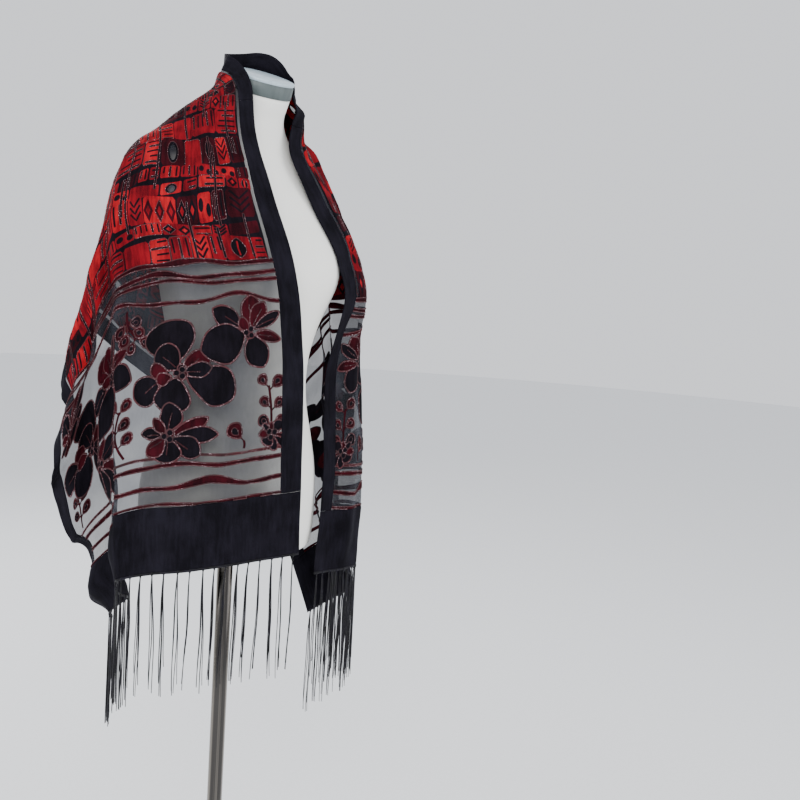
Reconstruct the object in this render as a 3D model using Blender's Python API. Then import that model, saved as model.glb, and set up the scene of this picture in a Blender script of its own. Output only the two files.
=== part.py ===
"""Velvet shawl hung over the shoulders of a limbless dress form.

Metres, +Z up. The form faces -Y, its right side is at -X, and the underside of its
floor base is centred on the origin. The shawl is one long cloth: "along" is measured
from the nape, negative to the left end and positive to the right end, and "across" is
measured from the neck edge to the outer edge.
"""

import math
from collections import namedtuple

import bmesh
import bpy
import numpy as np

# The shawl's cut
SHAWL_WIDTH = 0.60
RIGHT_LENGTH = 0.95
LEFT_LENGTH = 0.99
BORDER_WIDTH = 0.038
BAND_DEPTH = 0.105
WALL = 0.0018
SEAM_GAP = 0.0003
CELL_ALONG = 0.030
CELL_ACROSS = 0.030
SHOULDER_SEAM = 0.19

# The fringe
FRINGE_LENGTH = 0.215
FRINGE_GROUPS = 30
FRINGE_RAGGED = 0.08
FRINGE_STRIP_DEPTH = 0.005
FRINGE_DROP = 0.0008
STRANDS_IN_GROUP = 2
STRAND_PITCH = 0.006
STRAND_RADIUS = 0.0012
STRAND_RUNS = 2
STRAND_SWAY = 0.003
STRAND_SWAY_DEPTH = 0.6
STRAND_SWAY_TURN = 1.7
STRAND_SWAY_CURL = 2.0
STRAND_MEAN_SHARE = 0.90
STRAND_RAGGED_TURN = 2.3
STRAND_TAPER = 0.4

# The dress form
FORM_SIDES = 36
NECK_CAP_HEIGHT = 0.027
NECK_CAP_DOME = 0.004
NECK_CAP_PROUD = 0.0011
NECK_CAP_ROUNDING = 0.003
NECK_CAP_TOP_INSET = 0.020
FLANGE_RADIUS = 0.034
FLANGE_HEIGHT = 0.016
POLE_RADIUS = 0.0135
BASE_RADIUS = 0.155
BASE_HEIGHT = 0.014
BASE_BEVEL = 0.004
PIECE_GAP = 0.0003
SMOOTH_ANGLE = math.radians(40)
CLOTH_CLEARANCE = 0.0033
CLEARANCE_BLEND = 0.0014
BUST_HALF_SPREAD = 0.083
BUST_HEIGHT = 1.205
BUST_REACH = 0.036
BUST_WIDTH = 0.046
BUST_RISE = 0.055
BUST_FRONT_FADE = 0.023

# One horizontal ring of the form: its height, half width, half depth, how far its
# centre lies forward, its squareness (2 is an ellipse) and the slope of its plane.
Ring = namedtuple("Ring", "height half_width half_depth centre_y squareness slope")
FORM_RINGS = [
    Ring(0.720, 0.163, 0.113, -0.002, 2.2, 0.00),
    Ring(0.740, 0.167, 0.116, -0.002, 2.2, 0.00),
    Ring(0.800, 0.170, 0.119, -0.001, 2.2, 0.00),
    Ring(0.860, 0.165, 0.117, -0.002, 2.2, 0.00),
    Ring(0.920, 0.150, 0.108, -0.005, 2.2, 0.00),
    Ring(0.970, 0.134, 0.100, -0.009, 2.2, 0.00),
    Ring(1.010, 0.127, 0.096, -0.012, 2.2, 0.00),
    Ring(1.050, 0.128, 0.096, -0.013, 2.2, 0.00),
    Ring(1.100, 0.136, 0.099, -0.012, 2.3, 0.00),
    Ring(1.150, 0.147, 0.103, -0.010, 2.3, 0.00),
    Ring(1.200, 0.157, 0.106, -0.008, 2.3, 0.00),
    Ring(1.250, 0.166, 0.106, -0.004, 2.3, 0.00),
    Ring(1.295, 0.180, 0.100, 0.002, 2.3, 0.00),
    Ring(1.330, 0.190, 0.090, 0.008, 2.3, 0.00),
    Ring(1.352, 0.190, 0.081, 0.011, 2.3, 0.00),
    Ring(1.372, 0.176, 0.072, 0.012, 2.2, 0.00),
    Ring(1.392, 0.142, 0.063, 0.010, 2.1, 0.00),
    Ring(1.415, 0.102, 0.056, 0.004, 2.0, 0.02),
    Ring(1.440, 0.072, 0.053, -0.004, 2.0, 0.08),
    Ring(1.465, 0.058, 0.052, -0.012, 2.0, 0.16),
    Ring(1.480, 0.055, 0.052, -0.019, 2.0, 0.23),
    Ring(1.497, 0.054, 0.052, -0.026, 2.0, 0.28),
]

# One section across the cloth: its place along, the neck edge, the shoulder ridge and
# the outer edge in space, how far the cloth bows outward and lifts between the first
# two, and how far it bows outward between the last two.
Section = namedtuple(
    "Section",
    "along edge_x edge_y edge_z ridge_x ridge_y ridge_z outer_x outer_y outer_z "
    "front_bow front_lift back_bow",
)
RIDGE_ACROSS = 0.32
SECTIONS = [
    Section(-0.99, 0.102, -0.118, 0.680, 0.250, -0.026, 0.655, 0.282, 0.056, 0.530, 0.060, 0.010, 0.074),
    Section(-0.82, 0.128, -0.104, 0.850, 0.252, -0.006, 0.825, 0.256, 0.104, 0.680, 0.066, 0.010, 0.054),
    Section(-0.64, 0.132, -0.094, 1.030, 0.250, 0.019, 1.005, 0.252, 0.142, 0.800, 0.064, 0.010, 0.030),
    Section(-0.48, 0.114, -0.139, 1.185, 0.240, 0.030, 1.165, 0.248, 0.125, 0.930, 0.042, 0.010, 0.014),
    Section(-0.35, 0.072, -0.098, 1.310, 0.235, 0.028, 1.298, 0.214, 0.142, 1.020, 0.028, 0.010, 0.012),
    Section(-0.24, 0.044, -0.062, 1.402, 0.204, 0.043, 1.387, 0.174, 0.175, 1.090, 0.012, 0.018, 0.012),
    Section(-0.10, 0.058, -0.041, 1.529, 0.112, 0.122, 1.325, 0.098, 0.188, 1.045, 0.004, 0.022, 0.010),
    Section(-0.05, 0.040, -0.005, 1.565, 0.058, 0.139, 1.294, 0.051, 0.179, 1.009, -0.004, 0.015, 0.008),
    Section(0.00, 0.013, 0.020, 1.563, 0.000, 0.146, 1.275, 0.000, 0.172, 0.985, -0.010, 0.010, 0.006),
    Section(0.08, -0.044, -0.026, 1.545, -0.090, 0.132, 1.312, -0.078, 0.184, 1.025, 0.000, 0.024, 0.010),
    Section(0.15, -0.052, -0.061, 1.509, -0.148, 0.102, 1.362, -0.130, 0.188, 1.065, 0.004, 0.034, 0.010),
    Section(0.25, -0.060, -0.087, 1.425, -0.207, 0.054, 1.374, -0.183, 0.178, 1.085, 0.012, 0.016, 0.012),
    Section(0.35, -0.060, -0.128, 1.338, -0.231, 0.042, 1.290, -0.218, 0.144, 1.020, 0.034, 0.010, 0.014),
    Section(0.48, -0.032, -0.162, 1.214, -0.223, 0.038, 1.170, -0.258, 0.136, 0.935, 0.050, 0.010, 0.010),
    Section(0.62, -0.014, -0.172, 1.080, -0.216, 0.036, 1.030, -0.240, 0.176, 0.816, 0.050, 0.010, 0.000),
    Section(0.78, -0.006, -0.174, 0.915, -0.211, 0.035, 0.865, -0.156, 0.208, 0.694, 0.048, 0.010, -0.004),
    Section(0.95, 0.000, -0.174, 0.745, -0.206, 0.032, 0.690, -0.080, 0.204, 0.558, 0.046, 0.010, -0.004),
]

# One soft fold: where its crest starts and ends along the cloth, where it lies across
# at each end, its half width and how high it stands (below zero is a trough).
Fold = namedtuple("Fold", "from_along to_along from_across to_across half_width height")
FOLDS = [
    Fold(0.20, 1.05, 0.318, 0.322, 0.012, 0.012),
    Fold(0.24, 1.05, 0.356, 0.360, 0.016, -0.008),
    Fold(0.50, 0.99, 0.235, 0.205, 0.022, 0.007),
    Fold(0.30, 0.85, 0.120, 0.105, 0.030, 0.005),
    Fold(0.36, 1.05, 0.452, 0.474, 0.024, -0.022),
    Fold(0.34, 0.80, 0.395, 0.400, 0.020, 0.006),
    Fold(0.34, 1.05, 0.540, 0.545, 0.026, 0.012),
    Fold(-0.58, -0.10, 0.054, 0.050, 0.022, 0.018),
    Fold(-1.05, -0.22, 0.322, 0.315, 0.020, 0.020),
    Fold(-1.05, -0.30, 0.078, 0.085, 0.018, 0.015),
    Fold(-1.05, -0.36, 0.242, 0.236, 0.024, -0.024),
    Fold(-1.05, -0.32, 0.468, 0.456, 0.023, -0.028),
    Fold(-1.05, -0.36, 0.394, 0.388, 0.021, 0.019),
    Fold(-1.05, -0.30, 0.540, 0.534, 0.024, 0.024),
]

# One flute of the back: the place along of its crest, its half width and its height
# at the outer edge. Flutes die out towards the shoulder blades.
Flute = namedtuple("Flute", "along half_width height")
FLUTES = [
    Flute(-0.84, 0.022, -0.020),
    Flute(-0.76, 0.023, 0.022),
    Flute(-0.67, 0.023, -0.022),
    Flute(-0.58, 0.023, 0.022),
    Flute(-0.49, 0.024, -0.023),
    Flute(-0.40, 0.024, 0.019),
    Flute(-0.30, 0.036, 0.010),
    Flute(-0.19, 0.036, -0.026),
    Flute(-0.09, 0.032, 0.014),
    Flute(0.00, 0.028, 0.010),
    Flute(0.09, 0.032, -0.020),
    Flute(0.18, 0.034, 0.016),
    Flute(0.29, 0.032, -0.024),
    Flute(0.38, 0.025, 0.020),
    Flute(0.47, 0.024, -0.020),
    Flute(0.555, 0.024, 0.020),
    Flute(0.64, 0.023, -0.021),
    Flute(0.72, 0.024, 0.010),
    Flute(0.80, 0.024, -0.019),
    Flute(0.885, 0.023, 0.022),
]
FLUTE_START = 0.24
FLUTE_FULL = 0.58
FLUTE_GROWTH = 1.5
FOLD_FADE_SHARE = 0.2
NORMAL_STEP = 0.012


def clear_scene():
    """Remove every object of the scene."""
    for item in list(bpy.data.objects):
        bpy.data.objects.remove(item, do_unlink=True)


def smooth_column(stations, values, at):
    """Read one table column at the given places, on a smooth curve through its rows."""
    stations = np.asarray(stations, float)
    values = np.asarray(values, float)
    slopes = np.gradient(values, stations)
    at = np.clip(np.asarray(at, float), stations[0], stations[-1])
    left = np.clip(np.searchsorted(stations, at, side="right") - 1, 0, len(stations) - 2)
    span = stations[left + 1] - stations[left]
    part = (at - stations[left]) / span
    start = (1 + 2 * part) * (1 - part) ** 2 * values[left]
    leave = part * (1 - part) ** 2 * span * slopes[left]
    end = part**2 * (3 - 2 * part) * values[left + 1]
    arrive = part**2 * (part - 1) * span * slopes[left + 1]
    return start + leave + end + arrive


def column(rows, name):
    """Return one named column of a table as a list."""
    return [getattr(row, name) for row in rows]


def ring_at(height):
    """Return the form's ring at a height, with every size read from the table."""
    heights = column(FORM_RINGS, "height")
    sizes = []
    for name in Ring._fields[1:]:
        sizes.append(float(smooth_column(heights, column(FORM_RINGS, name), height)))
    return Ring(float(height), *sizes)


def bust_swell(x, y, height):
    """Return how far the bust stands out in front of the form's plain ring."""
    if y > 0:
        return 0.0
    rise = (height - BUST_HEIGHT) / BUST_RISE
    swell = 0.0
    for side in (-1, 1):
        spread = (x - side * BUST_HALF_SPREAD) / BUST_WIDTH
        swell += math.exp(-0.5 * (spread**2 + rise**2))
    return BUST_REACH * swell * min(1.0, -y / BUST_FRONT_FADE)


def form_radius(ring, angle):
    """Return the distance from a ring's centre to the form's surface at an angle."""
    cos_part = abs(math.cos(angle) / ring.half_width) ** ring.squareness
    sin_part = abs(math.sin(angle) / ring.half_depth) ** ring.squareness
    radius = (cos_part + sin_part) ** (-1.0 / ring.squareness)
    x = radius * math.cos(angle)
    y = radius * math.sin(angle)
    return radius + bust_swell(x, y, ring.height)


def ring_points(ring, grow=0.0):
    """Return the points of one ring of the form, on its sloping plane."""
    points = []
    for index in range(FORM_SIDES):
        angle = 2 * math.pi * index / FORM_SIDES
        radius = form_radius(ring, angle) + grow
        x = radius * math.cos(angle)
        y = radius * math.sin(angle)
        points.append((x, y + ring.centre_y, ring.height + ring.slope * y))
    return points


def clear_of_form(point):
    """Move a point of the cloth straight out until it clears the form."""
    x, y, z = point
    lowest = FORM_RINGS[0].height
    highest = FORM_RINGS[-1].height
    ring = ring_at(min(max(z, lowest), highest))
    away = math.hypot(x, y - ring.centre_y)
    angle = math.atan2(y - ring.centre_y, x)
    needed = form_radius(ring, angle) + CLOTH_CLEARANCE
    gap = away - needed
    radius = 0.5 * (away + needed + math.sqrt(gap * gap + CLEARANCE_BLEND**2))
    return np.array([radius * math.cos(angle), ring.centre_y + radius * math.sin(angle), z])


def bowed_middle(start, end, bow):
    """Return the middle of two points, moved outward and level by the bow."""
    run = end - start
    outward = np.array([run[1], -run[0], 0.0])
    middle = 0.5 * (start + end)
    length = np.linalg.norm(outward)
    if length < 1e-6:
        return middle
    outward /= length
    from_axis = np.array([middle[0], middle[1], 0.0])
    if np.dot(outward, from_axis) < 0:
        outward = -outward
    return middle + bow * outward


def section_curve(along):
    """Return the five guide points of the cloth's section at a place along it."""
    stations = column(SECTIONS, "along")
    row = {}
    for name in Section._fields[1:]:
        row[name] = float(smooth_column(stations, column(SECTIONS, name), along))
    edge = np.array([row["edge_x"], row["edge_y"], row["edge_z"]])
    ridge = np.array([row["ridge_x"], row["ridge_y"], row["ridge_z"]])
    outer = np.array([row["outer_x"], row["outer_y"], row["outer_z"]])
    front = bowed_middle(edge, ridge, row["front_bow"]) + np.array([0.0, 0.0, row["front_lift"]])
    back = bowed_middle(ridge, outer, row["back_bow"])
    return [edge, front, ridge, back, outer]


def fold_lift(along, across):
    """Return how far the folds and flutes raise the cloth at a place on it."""
    lift = 0.0
    for fold in FOLDS:
        run = (along - fold.from_along) / (fold.to_along - fold.from_along)
        if not 0.0 <= run <= 1.0:
            continue
        crest = fold.from_across + run * (fold.to_across - fold.from_across)
        fade = min(1.0, run / FOLD_FADE_SHARE, (1.0 - run) / FOLD_FADE_SHARE)
        fade = fade * fade * (3.0 - 2.0 * fade)
        lift += fold.height * fade * math.exp(-0.5 * ((across - crest) / fold.half_width) ** 2)
    growth = min(1.0, max(0.0, (across - FLUTE_START) / (FLUTE_FULL - FLUTE_START)))
    for flute in FLUTES:
        beside = (along - flute.along) / flute.half_width
        lift += flute.height * growth**FLUTE_GROWTH * math.exp(-0.5 * beside**2)
    return lift


def plain_point(along, across):
    """Return the cloth's point before folds: on the section curve, clear of the form."""
    guides = section_curve(along)
    places = [0.0, 0.5 * RIDGE_ACROSS, RIDGE_ACROSS, 0.5 * (RIDGE_ACROSS + SHAWL_WIDTH), SHAWL_WIDTH]
    point = [float(smooth_column(places, [guide[axis] for guide in guides], across)) for axis in range(3)]
    return clear_of_form(point)


def plain_normal(along, across):
    """Return the outward direction of the cloth before folds."""
    before_along = max(along - NORMAL_STEP, -LEFT_LENGTH)
    after_along = min(along + NORMAL_STEP, RIGHT_LENGTH)
    before_across = max(across - NORMAL_STEP, 0.0)
    after_across = min(across + NORMAL_STEP, SHAWL_WIDTH)
    run_along = plain_point(after_along, across) - plain_point(before_along, across)
    run_across = plain_point(along, after_across) - plain_point(along, before_across)
    normal = np.cross(run_across, run_along)
    return normal / np.linalg.norm(normal)


def seam_pairs(lines):
    """Return the index of the first line of each pair that is a seam gap apart."""
    return [index for index in range(len(lines) - 1) if lines[index + 1] - lines[index] < 2 * SEAM_GAP]


def shared(first, second):
    """Return the common directions of two rows of outward directions."""
    both = first + second
    return both / np.linalg.norm(both, axis=-1, keepdims=True)


def cloth_grid(along_lines, across_lines):
    """Return the cloth's middle points and outward directions on a grid of lines."""
    shape = (len(along_lines), len(across_lines), 3)
    points = np.zeros(shape)
    for row, along in enumerate(along_lines):
        for col, across in enumerate(across_lines):
            lifted = plain_normal(along, across) * fold_lift(along, across)
            points[row, col] = clear_of_form(plain_point(along, across) + lifted)
    normals = np.zeros(shape)
    for row in range(shape[0]):
        for col in range(shape[1]):
            below = points[max(row - 1, 0), col]
            above = points[min(row + 1, shape[0] - 1), col]
            inside = points[row, max(col - 1, 0)]
            outside = points[row, min(col + 1, shape[1] - 1)]
            normal = np.cross(outside - inside, above - below)
            normals[row, col] = normal / np.linalg.norm(normal)
    for row in seam_pairs(along_lines):
        normals[row] = normals[row + 1] = shared(normals[row], normals[row + 1])
    for col in seam_pairs(across_lines):
        normals[:, col] = normals[:, col + 1] = shared(normals[:, col], normals[:, col + 1])
    return points, normals


def seam_lines(seams, cell):
    """Return grid lines between seams, each inner seam as a pair of lines a gap apart."""
    lines = []
    for start, end in zip(seams[:-1], seams[1:]):
        first = start + (0.5 * SEAM_GAP if start != seams[0] else 0.0)
        last = end - (0.5 * SEAM_GAP if end != seams[-1] else 0.0)
        count = max(1, round((last - first) / cell))
        lines.extend(first + (last - first) * index / count for index in range(count + 1))
    return lines


def mesh_object(name, vertices, faces, material, smooth=True):
    """Make one named object from points and faces, facing out and dressed."""
    mesh = bpy.data.meshes.new(name)
    shape = bmesh.new()
    made = [shape.verts.new(tuple(float(value) for value in point)) for point in vertices]
    for face in faces:
        shape.faces.new([made[index] for index in face])
    bmesh.ops.recalc_face_normals(shape, faces=shape.faces)
    bmesh.ops.triangulate(shape, faces=shape.faces)
    shape.to_mesh(mesh)
    shape.free()
    if smooth:
        mesh.shade_smooth()
        mesh.set_sharp_from_angle(angle=SMOOTH_ANGLE)
    mesh.materials.append(material)
    item = bpy.data.objects.new(name, mesh)
    bpy.context.scene.collection.objects.link(item)
    return item


def make_material(name, colour, roughness, metallic=0.0):
    """Make a plain Principled material."""
    material = bpy.data.materials.new(name)
    material.use_nodes = True
    shader = material.node_tree.nodes["Principled BSDF"]
    shader.inputs["Base Color"].default_value = (*colour, 1.0)
    shader.inputs["Roughness"].default_value = roughness
    shader.inputs["Metallic"].default_value = metallic
    return material


def cloth_wall(name, points, normals, material):
    """Make one piece of cloth: a closed wall round its middle points."""
    rows, cols = points.shape[:2]
    half = 0.5 * WALL
    outer = (points + half * normals).reshape(-1, 3)
    inner = (points - half * normals).reshape(-1, 3)
    vertices = list(outer) + list(inner)
    shift = rows * cols
    faces = []

    def at(row, col):
        """Return a point's index in the outer layer."""
        return row * cols + col

    for row in range(rows - 1):
        for col in range(cols - 1):
            quad = [at(row, col), at(row + 1, col), at(row + 1, col + 1), at(row, col + 1)]
            faces.append(quad)
            faces.append([index + shift for index in reversed(quad)])
    rim = [at(0, col) for col in range(cols)]
    rim += [at(row, cols - 1) for row in range(1, rows)]
    rim += [at(rows - 1, col) for col in range(cols - 2, -1, -1)]
    rim += [at(row, 0) for row in range(rows - 2, 0, -1)]
    for here, there in zip(rim, rim[1:] + rim[:1]):
        faces.append([here, there, there + shift, here + shift])
    return mesh_object(name, vertices, faces, material)


def cut_shawl(materials):
    """Cut the cloth into its sewn pieces along its seams."""
    along_seams = [
        -LEFT_LENGTH,
        -LEFT_LENGTH + BAND_DEPTH,
        -SHOULDER_SEAM,
        SHOULDER_SEAM,
        RIGHT_LENGTH - BAND_DEPTH,
        RIGHT_LENGTH,
    ]
    across_seams = [0.0, BORDER_WIDTH, SHAWL_WIDTH - BORDER_WIDTH, SHAWL_WIDTH]
    along_lines = seam_lines(along_seams, CELL_ALONG)
    across_lines = seam_lines(across_seams, CELL_ACROSS)
    points, normals = cloth_grid(along_lines, across_lines)

    def block(name, from_along, to_along, from_across, to_across, material):
        """Make the piece that lies between four seams."""
        rows = [i for i, value in enumerate(along_lines) if from_along - SEAM_GAP / 4 <= value <= to_along]
        cols = [i for i, value in enumerate(across_lines) if from_across - SEAM_GAP / 4 <= value <= to_across]
        grid = np.ix_(rows, cols)
        cloth_wall(name, points[grid], normals[grid], material)

    left_band, left_seam, right_seam, right_band = along_seams[1:5]
    stretches = [
        ("left", left_band, left_seam),
        ("back", left_seam, right_seam),
        ("right", right_seam, right_band),
    ]
    for side, start, end in stretches:
        block(f"panel_{side}", start, end, across_seams[1], across_seams[2], materials["devore"])
        block(f"neck_border_{side}", start, end, across_seams[0], across_seams[1], materials["velvet"])
        block(f"outer_border_{side}", start, end, across_seams[2], across_seams[3], materials["velvet"])
    block("end_band_left", along_seams[0], left_band, 0.0, SHAWL_WIDTH, materials["velvet"])
    block("end_band_right", right_band, along_seams[5], 0.0, SHAWL_WIDTH, materials["velvet"])
    fringe("fringe_left", points[0], normals[0], across_lines, materials["thread"])
    fringe("fringe_right", points[-1], normals[-1], across_lines, materials["thread"])


def hem_cells():
    """Return the cell edges along a hem, and which cells a fringe strand hangs from."""
    edges = [0.0]
    hangs = []
    spacing = SHAWL_WIDTH / FRINGE_GROUPS
    for group in range(FRINGE_GROUPS):
        middle = (group + 0.5) * spacing
        for strand in range(STRANDS_IN_GROUP):
            centre = middle + (strand - 0.5 * (STRANDS_IN_GROUP - 1)) * STRAND_PITCH
            edges += [centre - STRAND_RADIUS, centre + STRAND_RADIUS]
            hangs += [False, True]
    edges.append(SHAWL_WIDTH)
    hangs.append(False)
    return edges, hangs


def strand_course(root, index):
    """Return the middle points of one strand, which sways a little as it falls."""
    length = FRINGE_LENGTH * (STRAND_MEAN_SHARE + FRINGE_RAGGED * math.sin(STRAND_RAGGED_TURN * index))
    course = []
    for run in range(1, STRAND_RUNS + 1):
        part = run / STRAND_RUNS
        sway = STRAND_SWAY * part * math.sin(STRAND_SWAY_TURN * index + STRAND_SWAY_CURL * part)
        course.append(root + np.array([sway, STRAND_SWAY_DEPTH * sway, -length * part]))
    return course


def fringe(name, hem_points, hem_normals, across_lines, material):
    """Make one fringe: strands fused at their roots into a narrow strip under a hem."""
    edges, hangs = hem_cells()
    half = 0.5 * WALL
    vertices = []
    faces = []
    drop = np.array([0.0, 0.0, -1.0])
    for across in edges:
        point = np.array([np.interp(across, across_lines, hem_points[:, axis]) for axis in range(3)])
        normal = np.array([np.interp(across, across_lines, hem_normals[:, axis]) for axis in range(3)])
        top = point + drop * FRINGE_DROP
        low = top + drop * FRINGE_STRIP_DEPTH
        vertices += [top + half * normal, top - half * normal, low + half * normal, low - half * normal]
    for cell, hangs_here in enumerate(hangs):
        near = 4 * cell
        far = near + 4
        faces.append([near, near + 1, far + 1, far])
        faces.append([near, far, far + 2, near + 2])
        faces.append([near + 1, near + 3, far + 3, far + 1])
        ring = [near + 2, far + 2, far + 3, near + 3]
        if hangs_here:
            corners = np.array([vertices[index] for index in ring])
            root = corners.mean(axis=0)
            course = strand_course(root, cell)
            for step, centre in enumerate(course, start=1):
                shrink = 1.0 - STRAND_TAPER * step / STRAND_RUNS
                start = len(vertices)
                level = corners - root
                level[:, 2] = 0.0
                vertices += [centre + shrink * corner for corner in level]
                below = [start, start + 1, start + 2, start + 3]
                for side in range(4):
                    after = (side + 1) % 4
                    faces.append([ring[side], ring[after], below[after], below[side]])
                ring = below
        faces.append(ring)
    last = 4 * (len(edges) - 1)
    faces.append([0, 2, 3, 1])
    faces.append([last, last + 1, last + 3, last + 2])
    return mesh_object(name, vertices, faces, material, smooth=False)


def lofted(name, rings, material):
    """Make a closed body through rings of equal point counts, flat at both ends."""
    vertices = [point for ring in rings for point in ring]
    sides = len(rings[0])
    faces = []
    for level in range(len(rings) - 1):
        for side in range(sides):
            after = (side + 1) % sides
            low = level * sides
            high = low + sides
            faces.append([low + side, low + after, high + after, high + side])
    faces.append(list(range(sides)))
    faces.append([(len(rings) - 1) * sides + side for side in range(sides)])
    return mesh_object(name, vertices, faces, material)


def turned(name, profile, centre, material):
    """Make a turned body from (radius, height) steps, bottom to top."""
    rings = []
    for radius, height in profile:
        ring = []
        for side in range(FORM_SIDES):
            angle = 2 * math.pi * side / FORM_SIDES
            ring.append((centre[0] + radius * math.cos(angle), centre[1] + radius * math.sin(angle), height))
        rings.append(ring)
    return lofted(name, rings, material)


def build_form(materials):
    """Build the torso with its neck cap, and the stand that carries it."""
    bottom = FORM_RINGS[0].height
    lofted("form_torso", [ring_points(ring) for ring in FORM_RINGS], materials["cover"])
    neck = FORM_RINGS[-1]
    cap_rings = []
    lift_and_grow = [
        (PIECE_GAP, NECK_CAP_PROUD),
        (NECK_CAP_HEIGHT, NECK_CAP_PROUD),
        (NECK_CAP_HEIGHT + 0.5 * NECK_CAP_DOME, -NECK_CAP_ROUNDING),
        (NECK_CAP_HEIGHT + NECK_CAP_DOME, -NECK_CAP_TOP_INSET),
    ]
    for lift, grow in lift_and_grow:
        ring = ring_points(neck, grow)
        cap_rings.append([(x, y - neck.slope * lift, z + lift) for x, y, z in ring])
    lofted("neck_cap", cap_rings, materials["cap"])
    flange_top = bottom - PIECE_GAP
    flange_low = flange_top - FLANGE_HEIGHT
    flange = [
        (0.75 * FLANGE_RADIUS, flange_low),
        (FLANGE_RADIUS, flange_low + 0.25 * FLANGE_HEIGHT),
        (FLANGE_RADIUS, flange_top),
    ]
    turned("flange", flange, (0.0, 0.0), materials["dark"])
    pole = [(POLE_RADIUS, BASE_HEIGHT + PIECE_GAP), (POLE_RADIUS, flange_low - PIECE_GAP)]
    turned("pole", pole, (0.0, 0.0), materials["chrome"])
    base = [
        (BASE_RADIUS, 0.0),
        (BASE_RADIUS, BASE_HEIGHT - BASE_BEVEL),
        (BASE_RADIUS - BASE_BEVEL, BASE_HEIGHT),
    ]
    turned("floor_base", base, (0.0, 0.0), materials["chrome"])


def main():
    """Build the dress form and the shawl on it."""
    clear_scene()
    materials = {
        "devore": make_material("devore_velvet", (0.20, 0.03, 0.04), 0.85),
        "velvet": make_material("black_velvet", (0.012, 0.010, 0.016), 0.90),
        "thread": make_material("fringe_thread", (0.020, 0.016, 0.028), 0.60),
        "cover": make_material("form_cover", (0.78, 0.77, 0.72), 0.70),
        "cap": make_material("cap_paint", (0.38, 0.42, 0.42), 0.40),
        "dark": make_material("dark_plastic", (0.02, 0.02, 0.02), 0.50),
        "chrome": make_material("chrome_tube", (0.80, 0.80, 0.80), 0.12, 1.0),
    }
    build_form(materials)
    cut_shawl(materials)


main()
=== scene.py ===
"""Looks of a long fringed burnt-out velvet shawl, hung open on a limbless dress form.

Metres, in the part's own frame: +Z up, and the form faces -Y. A place on the flat cloth is
(along, across): along runs from the nape, negative to the left end and positive to the
right end, and across runs from the neck edge to the outer edge.
"""

import logging
import math
import random
from dataclasses import dataclass
from enum import Enum
from typing import NamedTuple

import bpy
import numpy as np
from mathutils import Matrix, Vector
from mathutils.geometry import delaunay_2d_cdt


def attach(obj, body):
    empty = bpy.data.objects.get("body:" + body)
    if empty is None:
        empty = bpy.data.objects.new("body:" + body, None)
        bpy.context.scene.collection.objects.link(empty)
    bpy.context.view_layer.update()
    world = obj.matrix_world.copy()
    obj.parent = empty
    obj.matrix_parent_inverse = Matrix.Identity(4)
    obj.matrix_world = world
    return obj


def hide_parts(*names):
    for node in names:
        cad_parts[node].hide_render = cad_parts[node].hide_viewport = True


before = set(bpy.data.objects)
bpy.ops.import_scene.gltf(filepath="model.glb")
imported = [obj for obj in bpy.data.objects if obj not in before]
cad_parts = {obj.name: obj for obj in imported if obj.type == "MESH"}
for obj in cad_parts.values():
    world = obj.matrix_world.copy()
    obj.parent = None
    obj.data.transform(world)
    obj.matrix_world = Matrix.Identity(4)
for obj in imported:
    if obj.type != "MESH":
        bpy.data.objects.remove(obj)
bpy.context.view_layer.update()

LOG = logging.getLogger("shawl")
BODY = "root"

SHAWL_WIDTH = 0.60
RIGHT_LENGTH = 0.95
LEFT_LENGTH = 0.99
BORDER_WIDTH = 0.038
BAND_DEPTH = 0.105
SHOULDER_SEAM = 0.19
SEAM_GAP = 0.0003
RIDGE_ACROSS = 0.32
FRINGE_LENGTH = 0.215
FRINGE_GROUPS = 30
TURN = 2.0 * math.pi
TINY = 1e-9
EDGE_STEPS = (0.0, 0.0006, 0.0018, 0.0036, 0.0050, 0.0064)
EDGE_DEPTH = 0.009
PETAL_SPACING = 0.0030

Array = np.ndarray
Material = bpy.types.Material
Socket = bpy.types.NodeSocket
Triple = tuple[float, float, float]
Colour = Triple
Pair = tuple[float, float]
Faces = list[list[int]]


class Tone(Enum):
    """The kinds of surface that a patch of the pattern can have."""

    SHEER = -1
    BLACK = 0
    MAROON = 1
    RED = 2
    BRIGHT = 3


class Signal:
    """One number of a shader, which arithmetic turns into Math nodes."""

    def __init__(self, surface: "Surface", socket: Socket) -> None:
        """Keep the surface and the socket that gives the number."""
        self.surface = surface
        self.socket = socket

    def join(self, operation: str, first: object, second: object = 0.0, clamp: bool = False) -> "Signal":
        """Join two values with one Math node.

        Args:
            operation: The Math node's operation.
            first: A signal or a number.
            second: A signal or a number.
            clamp: Whether the result is kept between 0 and 1.

        Returns:
            The joined signal.
        """
        settings = {"operation": operation, "use_clamp": clamp}
        made = self.surface.node("ShaderNodeMath", settings, {0: first, 1: second})
        return Signal(self.surface, made.outputs[0])

    def __add__(self, other: object) -> "Signal":
        """Add another value."""
        return self.join("ADD", self, other)

    def __radd__(self, other: object) -> "Signal":
        """Add to another value."""
        return self.join("ADD", other, self)

    def __sub__(self, other: object) -> "Signal":
        """Take another value away."""
        return self.join("SUBTRACT", self, other)

    def __rsub__(self, other: object) -> "Signal":
        """Take this from another value."""
        return self.join("SUBTRACT", other, self)

    def __mul__(self, other: object) -> "Signal":
        """Multiply by another value."""
        return self.join("MULTIPLY", self, other)

    def above(self, limit: float) -> "Signal":
        """Give 1 where this is over a limit, else 0."""
        return self.join("GREATER_THAN", self, limit)

    def sine(self) -> "Signal":
        """Give the sine."""
        return self.join("SINE", self)

    def between(self, low: float, high: float) -> "Signal":
        """Stretch the range from low to high over 0 to 1, and keep it there."""
        return self.join("MULTIPLY", self - low, 1.0 / (high - low), clamp=True)


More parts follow.
